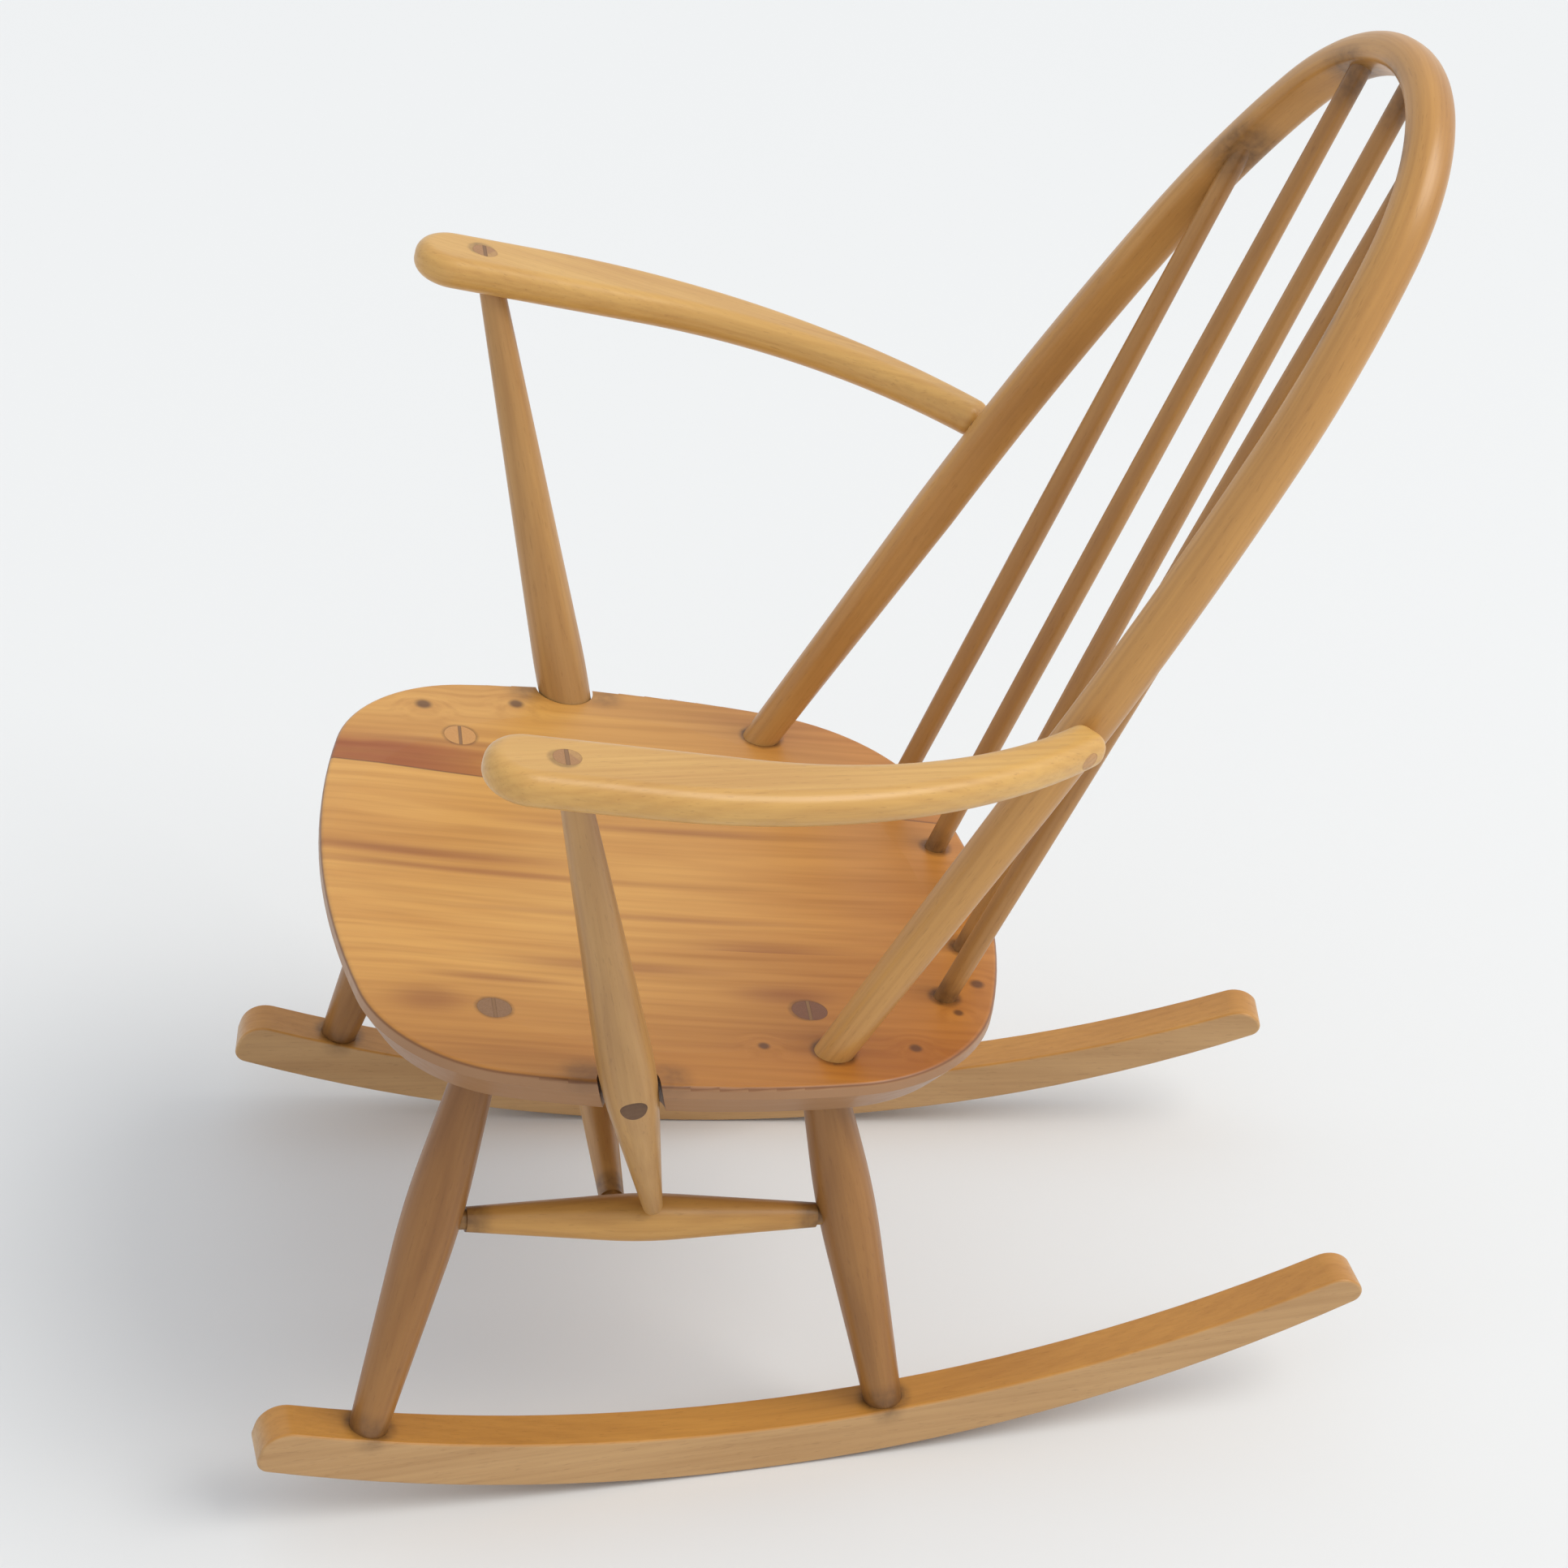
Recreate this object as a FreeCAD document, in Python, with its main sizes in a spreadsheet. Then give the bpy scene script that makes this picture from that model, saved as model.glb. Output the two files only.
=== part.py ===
import FreeCAD, Part
import math
import os
from types import SimpleNamespace
from FreeCAD import Placement, Rotation, Vector

# Bentwood rocking armchair: a carved seat, four turned legs with stretchers, two rockers, a bent hoop
# with five spindles, and two arms on turned posts that pass the seat in notches.
# X is across the chair, the sitter's left at plus X. The front faces minus Y and Z is up. The origin is
# on the floor, under the middle of the chair's box.

# Driving dimensions in millimetres and degrees
SIZES = [
    ("glue_gap", 0.1, "glue line between a tenon or plug and its hole, on each side"),
    ("seat_height", 324, "floor to the seat's top at its widest line"),
    ("seat_back", -121.1, "where the seat's widest line lies, along Y"),
    ("seat_tilt", 7.8, "how far the seat drops towards the back, degrees"),
    ("seat_width", 444, "across the seat's widest line"),
    ("seat_front_reach", 179, "widest line to the front edge"),
    ("seat_rear_reach", 245.5, "widest line to the rear edge"),
    ("seat_front_radius", 620, "curve of the front edge"),
    ("seat_side_radius", 640, "curve of the side edges"),
    ("seat_rear_radius", 430, "curve of the rear edge"),
    ("seat_front_corner", 100, "radius of the front corners"),
    ("seat_rear_corner", 128, "radius of the rear corners"),
    ("seat_thickness", 28, "board thickness"),
    ("seat_top_edge", 3, "rounding of the upper edge"),
    ("seat_bevel_inward", 14, "how far the bevel under the edge runs in"),
    ("seat_bevel_rise", 19.5, "how far that bevel rises up the edge"),
    ("dish_radius", 188, "rim of the carved dish"),
    ("dish_depth", 5, "depth of the dish in its middle"),
    ("dish_back", 15, "widest line to the middle of the dish"),
    ("rocker_bend", 1015, "radius of the arc that meets the floor"),
    ("rocker_top_bend", 1063, "radius of the rocker's top, which slims its ends"),
    ("rocker_top_behind", 10.5, "floor contact back to the lowest place of that top"),
    ("rocker_height", 32, "depth of the rocker over its floor contact"),
    ("rocker_width", 30, "thickness of the rocker across the chair"),
    ("rocker_spread", 182, "middle of the chair to the rocker where it meets the floor"),
    ("rocker_contact", -41.2, "where the rockers meet the floor, along Y"),
    ("rocker_toe", 5.55, "how far the rockers close in towards the back, degrees"),
    ("rocker_front", 317.5, "floor contact to the front end"),
    ("rocker_rear", 394.5, "floor contact to the rear end"),
    ("rocker_top_corner", 18.5, "rounding of the upper corner at each end"),
    ("rocker_low_corner", 8, "rounding of the lower corner at each end"),
    ("rocker_arris", 2, "easing of the rocker's long edges"),
    ("front_leg_side", 152, "middle of the seat to a front leg's top"),
    ("front_leg_ahead", 82, "widest line forward to a front leg's top"),
    ("front_foot_ahead", 245, "floor contact forward to a front leg's foot"),
    ("rear_leg_side", 133.5, "middle of the seat to a rear leg's top"),
    ("rear_leg_behind", 111, "widest line back to a rear leg's top"),
    ("rear_foot_behind", 81, "floor contact back to a rear leg's foot"),
    ("leg_top", 20.5, "leg diameter where it shows in the seat"),
    ("leg_belly", 36.5, "leg diameter at its fullest"),
    ("leg_foot", 24, "leg diameter where it meets the rocker"),
    ("leg_fullness", 0.52, "height of the fullest place, as a share of the leg"),
    ("leg_swell", 34, "length of the rounded swell on each side of that place"),
    ("leg_socket", 14, "how deep a leg stands in its rocker"),
    ("wedge_thickness", 2, "hardwood wedge in a tenon"),
    ("wedge_depth", 15, "how deep a wedge goes"),
    ("stretcher_front_share", 0.5, "height of the side stretcher's front end, as a share of the leg"),
    ("stretcher_rear_share", 0.48, "height of its rear end, as a share of the leg"),
    ("stretcher_belly", 29.5, "side stretcher diameter at its fullest"),
    ("stretcher_end", 15.5, "stretcher diameter at its shoulders"),
    ("stretcher_swell", 22, "length of the swell on each side of its fullest place"),
    ("stretcher_tenon", 12.5, "diameter of a stretcher's tenons"),
    ("stretcher_neck", 3, "tenon that shows between shoulder and leg"),
    ("tenon_depth", 14, "how deep a stretcher's tenon goes"),
    ("cross_share", 0.435, "where the cross stretcher meets the side ones, as a share of their length"),
    ("cross_belly", 25.5, "cross stretcher diameter at its fullest"),
    ("hoop_tilt", 32.4, "how far the hoop leans back, degrees"),
    ("hoop_spread", 177, "middle of the chair to a hoop leg"),
    ("hoop_behind", 120.5, "widest line back to the hoop's feet"),
    ("hoop_straight", 200, "straight part of a hoop leg above the seat"),
    ("hoop_side_radius", 1480, "long bend above the straight part"),
    ("hoop_side_turn", 9.7, "how far the long bend turns, degrees"),
    ("hoop_shoulder_radius", 450, "bend at the hoop's shoulder"),
    ("hoop_shoulder_turn", 26, "lean of the hoop where the crown's arc starts, degrees"),
    ("hoop_face", 22, "hoop section seen from the front"),
    ("hoop_depth", 28.5, "hoop section front to back"),
    ("hoop_inner_round", 6, "rounding of the section's inner corners"),
    ("hoop_outer_round", 13, "rounding of the section's outer corners"),
    ("hoop_foot", 22, "hoop diameter at the seat"),
    ("hoop_socket", 18, "how deep the hoop stands in the seat"),
    ("spindle_end", 13.2, "spindle diameter at its ends"),
    ("spindle_belly", 15.2, "spindle diameter at its fullest"),
    ("spindle_fullness", 0.45, "height of that place, as a share of the spindle"),
    ("spindle_swell", 110, "length of the swell on each side of it"),
    ("spindle_head", 56, "straight end of a spindle at the hoop"),
    ("spindle_socket", 16, "how deep a spindle stands in the seat"),
    ("spindle_inset", 16.5, "rear edge of the seat to the middle spindle"),
    ("inner_spindle_side", 57, "middle of the seat to an inner spindle"),
    ("outer_spindle_side", 112, "middle of the seat to an outer spindle"),
    ("inner_spindle_rise", 9, "how far an inner spindle stands ahead of the middle one"),
    ("outer_spindle_rise", 30, "how far an outer spindle stands ahead of the middle one"),
    ("inner_spindle_top", 68, "middle of the hoop to an inner spindle's top"),
    ("outer_spindle_top", 133, "middle of the hoop to an outer spindle's top"),
    ("spindle_top_ahead", 2, "how far the spindles' tops stand ahead of the hoop's middle"),
    ("arm_rise", 262, "top of the seat's widest line up to the middle of the arm"),
    ("arm_back", -131.1, "where the arm's bend starts, along Y"),
    ("arm_slope", 12, "how far the arm drops towards the back, degrees"),
    ("arm_side", 303.5, "middle of the chair to the arm where its bend starts"),
    ("arm_heading", 3, "how far the straight part of the arm closes in, degrees"),
    ("arm_front", 90, "bend to the tip of the arm"),
    ("arm_bend", 454, "radius of the arm's bend"),
    ("arm_turn", 38, "how far the arm's bend turns, degrees"),
    ("arm_width", 51, "arm width at the front"),
    ("arm_rear_width", 25, "arm width at the rear end"),
    ("arm_inner_start", 60, "how much later the arm's inner edge starts to bend"),
    ("arm_end_corner", 8, "radius of the corners of the arm's rear end"),
    ("arm_thickness", 22, "arm thickness"),
    ("arm_round", 9.5, "rounding of the arm's edges"),
    ("post_behind_tip", 44, "tip of the arm back to the post"),
    ("post_seat_side", 218, "middle of the chair to the post's axis at the seat"),
    ("post_seat_ahead", 8, "widest line forward to the post's axis at the seat"),
    ("post_top", 15, "post diameter where it shows in the arm"),
    ("post_belly", 34, "post diameter at the seat"),
    ("post_tip", 12.5, "post diameter above its rounded lower tip"),
    ("post_swell", 30, "length of the post's swell on each side of the seat's top"),
    ("post_drop", 137, "how far the post reaches below the seat's top"),
    ("notch_play", 1.2, "how much larger the seat's notch is than the post, on the radius"),
    ("notch_gap", 0.4, "post to the round end of its notch"),
    ("post_plug", 16, "diameter of the plug over the post's screw"),
    ("post_plug_depth", 9, "depth of the hole under that plug"),
    ("post_plug_sunk", 2.5, "how far that plug lies below the surface"),
    ("arm_plug", 10, "diameter of the plug over the arm's screw"),
    ("arm_plug_start", 8, "hoop leg to the inner end of the arm's plug"),
    ("arm_plug_ahead", 8, "how far that plug lies ahead of the hoop leg's middle"),
    ("screw_shank", 4.5, "diameter of a screw's shank"),
    ("screw_head", 8.5, "diameter of a screw's head"),
    ("screw_head_height", 3, "height of a screw's head"),
    ("post_screw_bite", 24, "how far the post's screw goes into the seat"),
    ("arm_screw_bite", 12, "how far the arm's screw goes into the hoop"),
]

doc = FreeCAD.newDocument("RockingChair")
sheet = doc.addObject("Spreadsheet::Sheet", "Sizes")
for row, (name, value, meaning) in enumerate(SIZES, start=1):
    sheet.set("A%d" % row, name)
    sheet.set("B%d" % row, str(value))
    sheet.set("C%d" % row, meaning)
    sheet.setAlias("B%d" % row, name)
doc.recompute()
size = SimpleNamespace(**{name: float(sheet.get(name)) for name, value, meaning in SIZES})

X_AXIS = Vector(1, 0, 0)
Z_AXIS = Vector(0, 0, 1)
OVERRUN = 12           # wood left on before a tenon is trimmed flush
HOLE_START = 1.6       # where a through hole's tool starts, in thicknesses below the wood's top
SAME_PLACE = 0.001     # how near a point lies to a line or plane that it belongs to
HOOP_FOOT_FLAT = 0.2   # half of each flat on the hoop's nearly round foot, which keeps its eight edges

seat_frame = Placement(Vector(0, size.seat_back, size.seat_height), Rotation(X_AXIS, -size.seat_tilt))
rocker_frame = Placement(
    Vector(size.rocker_spread, size.rocker_contact, 0), Rotation(Z_AXIS, size.rocker_toe))
hoop_frame = Placement(
    seat_frame.multVec(Vector(0, size.hoop_behind, 0)), Rotation(X_AXIS, -size.hoop_tilt))
arm_frame = Placement(
    Vector(0, size.arm_back, size.seat_height + size.arm_rise), Rotation(X_AXIS, -size.arm_slope))
trim_reach = 3 * size.arm_side   # wider than the chair, for the blocks that trim tenons flush
pieces = {}


# Helpers for the document

def bound(kind, label, **expressions):
    """A document object whose properties follow the sheet."""
    item = doc.addObject(kind, label)
    for prop, expression in expressions.items():
        item.setExpression(prop, expression)
    return item


def origin_plane(body, role):
    """The plane of a body's own origin with this role."""
    return next(feature for feature in body.Origin.OriginFeatures if feature.Role == role)


def new_sketch(body, label, role, offset=Placement()):
    """An empty sketch on one of the body's own origin planes."""
    sketch = body.newObject("Sketcher::SketchObject", label)
    sketch.AttachmentSupport = [(origin_plane(body, role), "")]
    sketch.MapMode = "FlatFace"
    sketch.AttachmentOffset = offset
    return sketch


def line(start, end):
    return Part.LineSegment(start, end)


def arc_about(centre, start, end):
    """The short arc from start to end around a centre."""
    middle = (start - centre).normalize() + (end - centre).normalize()
    return Part.Arc(start, centre + middle.normalize() * (start - centre).Length, end)


def cut(label, base, tools):
    """The base less every tool."""
    merged = tools[0]
    if len(tools) > 1:
        merged = doc.addObject("Part::MultiFuse", label + "_tools")
        merged.Shapes = tools
    result = doc.addObject("Part::Cut", label)
    result.Base = base
    result.Tool = merged
    return result


def common(label, first, second):
    result = doc.addObject("Part::Common", label)
    result.Base = first
    result.Tool = second
    return result


def mirrored(label, source):
    """The same piece on the other side of the chair."""
    result = doc.addObject("Part::Mirroring", label)
    result.Source = source
    result.Base = Vector(0, 0, 0)
    result.Normal = X_AXIS
    return result


def grouped(label, items):
    result = doc.addObject("Part::Compound", label)
    result.Links = items
    return result


def keep(node, item):
    """Register a finished piece under its node's name."""
    item.Label = node
    pieces[node] = item
    return item


def along(start, end, side=X_AXIS):
    """A placement at start whose Z points at end and whose X is as near to side as it can be, or
    near the vertical where the piece itself lies along side."""
    axis = (end - start).normalize()
    if abs(axis.dot(side)) > 0.99:
        side = Z_AXIS
    across = axis.cross(side).normalize()
    return Placement(start, Rotation(across.cross(axis), across, axis, "ZXY"))


# Turned pieces

def blending_arc(corners, index, blend):
    """Centre and radius of the arc that touches both sides of a corner at one distance from it."""
    before = (corners[index - 1] - corners[index]).normalize()
    after = (corners[index + 1] - corners[index]).normalize()
    half_turn = (math.pi - before.getAngle(after)) / 2
    radius = blend / math.tan(half_turn)
    return corners[index] + (before + after).normalize() * (radius / math.cos(half_turn)), radius


def eased(stations, fullest, blend):
    """The stations (height, radius) with the fullest moved out by what its blending arc takes off, so
    that the turned piece is as full as the station says."""
    corners = [Vector(radius, height, 0) for height, radius in stations]
    centre, arc_radius = blending_arc(corners, fullest, blend)
    height, radius = stations[fullest]
    moved = list(stations)
    moved[fullest] = (height, 2 * radius - centre.x - arc_radius)
    return moved


def taper(low, high):
    """The radius, as a function of height, of the straight taper through two stations."""
    slope = (high[1] - low[1]) / (high[0] - low[0])
    return lambda height: low[1] + slope * (height - low[0])


def turned(label, stations, fullest, blend, tip_radius=0.0):
    """A body turned about Z: straight tapers between stations (height, radius), with the corner at
    the fullest station blended by an arc and, where asked, a round lower tip."""
    body = doc.addObject("PartDesign::Body", label)
    sketch = new_sketch(body, label + "_profile", "XZ_Plane")
    corners = [Vector(radius, height, 0) for height, radius in stations]
    start = corners[0]
    foot = Vector(0, start.y - tip_radius, 0)
    if tip_radius:
        sketch.addGeometry(arc_about(Vector(0, start.y, 0), foot, start))
    else:
        sketch.addGeometry(line(foot, start))
    centre, arc_radius = blending_arc(corners, fullest, blend)
    last = start
    for index in range(1, len(corners)):
        corner = corners[index]
        if index == fullest:
            low = corner + (corners[index - 1] - corner).normalize() * blend
            high = corner + (corners[index + 1] - corner).normalize() * blend
            sketch.addGeometry(line(last, low))
            middle = centre + (corner - centre).normalize() * arc_radius
            sketch.addGeometry(Part.Arc(low, middle, high))
            last = high
        else:
            sketch.addGeometry(line(last, corner))
            last = corner
    head = Vector(0, last.y, 0)
    sketch.addGeometry(line(last, head))
    sketch.addGeometry(line(head, foot))
    turning = body.newObject("PartDesign::Revolution", label + "_turning")
    turning.Profile = sketch
    turning.ReferenceAxis = (sketch, ["V_Axis"])
    turning.Angle = 360
    return body


def straight_hole(label, radius, place, low, high):
    """A hole along a piece's own axis between two heights, one glue line wider than the piece."""
    hole = bound("Part::Cylinder", label, Radius=radius + " + Sizes.glue_gap", Height="%f" % (high - low))
    hole.Placement = Placement(place.multVec(Vector(0, 0, low)), place.Rotation)
    return hole


def tapered_hole(label, radius_at, place, low, high):
    """The same for a tapered piece, whose radius is a function of the height."""
    hole = bound(
        "Part::Cone", label, Radius1="%f + Sizes.glue_gap" % radius_at(low),
        Radius2="%f + Sizes.glue_gap" % radius_at(high), Height="%f" % (high - low))
    hole.Placement = Placement(place.multVec(Vector(0, 0, low)), place.Rotation)
    return hole


def wedge_and_slot(name, place, length, diameter):
    """Blocks across the end of a tenon: a wedge's own, and its slot's, one glue line larger."""
    blocks = []
    for suffix, play in (("_wedge_box", 0), ("_slot_box", size.glue_gap)):
        block = bound(
            "Part::Box", name + suffix, Length="%f" % (2 * diameter),
            Width="Sizes.wedge_thickness + %f" % (2 * play),
            Height="Sizes.wedge_depth + %f" % (OVERRUN + play))
        corner = Vector(-diameter, -size.wedge_thickness / 2 - play, length - size.wedge_depth - play)
        block.Placement = Placement(place.multVec(corner), place.Rotation)
        blocks.append(block)
    return blocks


# Seat

def corner_centre(first, first_radius, second, second_radius, radius):
    """Centre of a corner arc that touches two larger arcs from inside."""
    reach_first = first_radius - radius
    reach_second = second_radius - radius
    apart = (second - first).Length
    share = (reach_first ** 2 - reach_second ** 2 + apart ** 2) / (2 * apart)
    offset = math.sqrt(reach_first ** 2 - share ** 2)
    towards = (second - first).normalize()
    options = [first + towards * share + Vector(-towards.y, towards.x, 0) * side * offset for side in (1, -1)]
    return max(options, key=lambda centre: centre.x)


def touch(large, large_radius, corner):
    return large + (corner - large).normalize() * large_radius


def seat_board():
    """The glued-up board: eight arcs round the outline, a rounded top edge and a deep bevel below."""
    front = Vector(0, size.seat_front_radius - size.seat_front_reach, 0)
    side = Vector(size.seat_width / 2 - size.seat_side_radius, 0, 0)
    rear = Vector(0, size.seat_rear_reach - size.seat_rear_radius, 0)
    front_corner = corner_centre(
        front, size.seat_front_radius, side, size.seat_side_radius, size.seat_front_corner)
    rear_corner = corner_centre(
        rear, size.seat_rear_radius, side, size.seat_side_radius, size.seat_rear_corner)
    points = [
        touch(front, size.seat_front_radius, front_corner),
        touch(side, size.seat_side_radius, front_corner),
        touch(side, size.seat_side_radius, rear_corner),
        touch(rear, size.seat_rear_radius, rear_corner),
    ]
    flip = [Vector(-point.x, point.y, 0) for point in points]
    body = doc.addObject("PartDesign::Body", "seat_board")
    body.Placement = seat_frame
    outline = new_sketch(body, "seat_outline", "XY_Plane")
    outline.addGeometry(arc_about(front, flip[0], points[0]))
    outline.addGeometry(arc_about(front_corner, points[0], points[1]))
    outline.addGeometry(arc_about(side, points[1], points[2]))
    outline.addGeometry(arc_about(rear_corner, points[2], points[3]))
    outline.addGeometry(arc_about(rear, points[3], flip[3]))
    outline.addGeometry(arc_about(Vector(-rear_corner.x, rear_corner.y, 0), flip[3], flip[2]))
    outline.addGeometry(arc_about(Vector(-side.x, 0, 0), flip[2], flip[1]))
    outline.addGeometry(arc_about(Vector(-front_corner.x, front_corner.y, 0), flip[1], flip[0]))
    board = body.newObject("PartDesign::Pad", "seat_thickness_pad")
    board.Profile = outline
    board.Reversed = True
    board.setExpression("Length", "Sizes.seat_thickness")
    doc.recompute()
    top_edges = edges_at_height(board, 0)
    rounding = body.newObject("PartDesign::Fillet", "seat_top_rounding")
    rounding.Base = (board, top_edges)
    rounding.setExpression("Radius", "Sizes.seat_top_edge")
    doc.recompute()
    bevel = body.newObject("PartDesign::Chamfer", "seat_under_bevel")
    bevel.Base = (rounding, edges_at_height(rounding, -size.seat_thickness))
    bevel.ChamferType = "Two distances"
    bevel.setExpression("Size", "Sizes.seat_bevel_rise")
    bevel.setExpression("Size2", "Sizes.seat_bevel_inward")
    return body


def edges_at_height(feature, height):
    """Names of a feature's edges that lie in one level plane of its own body."""
    names = []
    for number, edge in enumerate(feature.Shape.Edges, start=1):
        box = edge.BoundBox
        if abs(box.ZMin - height) < SAME_PLACE and abs(box.ZMax - height) < SAME_PLACE:
            names.append("Edge%d" % number)
    return names


def dish_ball():
    """The ball that carves the seat's shallow dish, and trims leg tenons flush with it."""
    ball = bound(
        "Part::Sphere", "dish_ball",
        Radius="(Sizes.dish_radius ^ 2 + Sizes.dish_depth ^ 2) / (2 * Sizes.dish_depth)")
    ball_radius = (size.dish_radius ** 2 + size.dish_depth ** 2) / (2 * size.dish_depth)
    centre = Vector(0, size.dish_back, ball_radius - size.dish_depth)
    # The ball lies on its side, so that its poles stay clear of the dish
    ball.Placement = Placement(seat_frame.multVec(centre), seat_frame.Rotation * Rotation(X_AXIS, 90))
    return ball


def block_above(label, frame, height):
    """A block whose underside lies at one height over a frame's own plane."""
    block = doc.addObject("Part::Box", label)
    block.Length = trim_reach
    block.Width = trim_reach
    block.Height = trim_reach / 4
    corner = frame.multVec(Vector(-trim_reach / 2, -trim_reach / 2, height))
    block.Placement = Placement(corner, frame.Rotation)
    return block


# Rockers

def rocker_top_height(reach):
    """Height of a rocker's top over the floor, this far along it from its floor contact."""
    along_top = reach - size.rocker_top_behind
    bend = size.rocker_top_bend
    return size.rocker_height + bend - math.sqrt(bend ** 2 - along_top ** 2)


def rocker_top_point(reach):
    """The point in the middle of a rocker's top, this far behind its floor contact."""
    return rocker_frame.multVec(Vector(0, reach, rocker_top_height(reach)))


def rocker_end(reach):
    """The low and high corner of an end that is square to the lower arc, as reach and height."""
    low = Vector(reach, size.rocker_bend - math.sqrt(size.rocker_bend ** 2 - reach ** 2), 0)
    top_reach = reach * (1 - size.rocker_height / size.rocker_bend)
    return low, Vector(top_reach, rocker_top_height(top_reach), 0)


def rocker_blank():
    """A curved rail, slimmer at its ends, with one high and one low rounded corner at each end."""
    body = doc.addObject("PartDesign::Body", "rocker_blank")
    body.Placement = rocker_frame
    sketch = new_sketch(body, "rocker_side", "YZ_Plane")
    low_front, top_front = rocker_end(-size.rocker_front)
    low_rear, top_rear = rocker_end(size.rocker_rear)
    sketch.addGeometry(Part.Arc(low_front, Vector(0, 0, 0), low_rear))
    sketch.addGeometry(line(low_rear, top_rear))
    lowest_top = Vector(size.rocker_top_behind, size.rocker_height, 0)
    sketch.addGeometry(Part.Arc(top_rear, lowest_top, top_front))
    sketch.addGeometry(line(top_front, low_front))
    rail = body.newObject("PartDesign::Pad", "rocker_rail")
    rail.Profile = sketch
    rail.Midplane = True
    rail.setExpression("Length", "Sizes.rocker_width")
    doc.recompute()
    high = body.newObject("PartDesign::Fillet", "rocker_high_corners")
    high.Base = (rail, edges_through(rail, [top_front, top_rear], flat_to_side))
    high.setExpression("Radius", "Sizes.rocker_top_corner")
    doc.recompute()
    low = body.newObject("PartDesign::Fillet", "rocker_low_corners")
    low.Base = (high, edges_through(high, [low_front, low_rear], flat_to_side))
    low.setExpression("Radius", "Sizes.rocker_low_corner")
    doc.recompute()
    easing = body.newObject("PartDesign::Fillet", "rocker_arrises")
    easing.Base = (low, edges_in_side_faces(low, size.rocker_width / 2))
    easing.setExpression("Radius", "Sizes.rocker_arris")
    return body


def flat_to_side(point):
    """A point's place in a side profile."""
    return Vector(point.y, point.z, 0)


def flat_to_plan(point):
    """A point's place in a plan."""
    return Vector(point.x, point.y, 0)


def edges_through(feature, corners, flat):
    """Names of the straight edges that stand on these corners of a flat profile."""
    names = []
    for number, edge in enumerate(feature.Shape.Edges, start=1):
        if any((flat(edge.CenterOfMass) - corner).Length < 0.01 for corner in corners):
            names.append("Edge%d" % number)
    return names


def edges_in_side_faces(feature, half_width):
    """Names of the edges that lie in the two flat sides."""
    names = []
    for number, edge in enumerate(feature.Shape.Edges, start=1):
        box = edge.BoundBox
        if box.XMax - box.XMin < SAME_PLACE and abs(abs(box.XMax) - half_width) < SAME_PLACE:
            names.append("Edge%d" % number)
    return names


# Hoop

def hoop_arcs():
    """Ends and centres of the right half's arcs, in the hoop's own plane, as X and height."""
    side_turn = math.radians(size.hoop_side_turn)
    crown_turn = math.radians(size.hoop_shoulder_turn)
    start = Vector(size.hoop_spread, size.hoop_straight, 0)
    side_centre = start - Vector(size.hoop_side_radius, 0, 0)
    side_end = side_centre + Vector(math.cos(side_turn), math.sin(side_turn), 0) * size.hoop_side_radius
    towards = Vector(math.cos(side_turn), math.sin(side_turn), 0)
    shoulder_centre = side_end - towards * size.hoop_shoulder_radius
    crown_out = Vector(math.cos(crown_turn), math.sin(crown_turn), 0)
    shoulder_end = shoulder_centre + crown_out * size.hoop_shoulder_radius
    crown_radius = shoulder_end.x / math.cos(crown_turn)
    crown_centre = shoulder_end - crown_out * crown_radius
    return SimpleNamespace(
        start=start, side_centre=side_centre, side_end=side_end, shoulder_centre=shoulder_centre,
        shoulder_end=shoulder_end, crown_centre=crown_centre, crown_radius=crown_radius)


def spindle_top(side):
    """The point in the hoop, a little ahead of its centre line, where a spindle this far from the
    middle ends, on the crown or the shoulder."""
    arcs = hoop_arcs()
    if side < arcs.shoulder_end.x:
        height = arcs.crown_centre.y + math.sqrt(arcs.crown_radius ** 2 - side ** 2)
    else:
        reach = side - arcs.shoulder_centre.x
        height = arcs.shoulder_centre.y + math.sqrt(size.hoop_shoulder_radius ** 2 - reach ** 2)
    return hoop_frame.multVec(Vector(side, -size.spindle_top_ahead, height))


def hoop_leg_point(height):
    """The point on the left leg's centre line at this height in the hoop's own plane."""
    rise = max(height - size.hoop_straight, 0)
    inward = size.hoop_side_radius - math.sqrt(size.hoop_side_radius ** 2 - rise ** 2)
    return hoop_frame.multVec(Vector(size.hoop_spread - inward, 0, height))


def section_sketch(body, label, side, height, face, depth, inner_round, outer_round):
    """A rounded rectangle across a hoop leg, rounder on the side that faces away from the chair."""
    sketch = new_sketch(body, label, "XY_Plane", Placement(Vector(side, 0, height), Rotation()))
    outward = math.copysign(1, side)
    corners = []
    for right, back in ((1, 1), (-1, 1), (-1, -1), (1, -1)):
        rounding = outer_round if right == outward else inner_round
        centre = Vector(right * (face / 2 - rounding), back * (depth / 2 - rounding), 0)
        along_x = centre + Vector(right * rounding, 0, 0)
        along_y = centre + Vector(0, back * rounding, 0)
        corners.append((centre, along_x, along_y) if right == back else (centre, along_y, along_x))
    for index, (centre, first, last) in enumerate(corners):
        sketch.addGeometry(arc_about(centre, first, last))
        sketch.addGeometry(line(last, corners[(index + 1) % len(corners)][1]))
    return sketch


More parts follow.
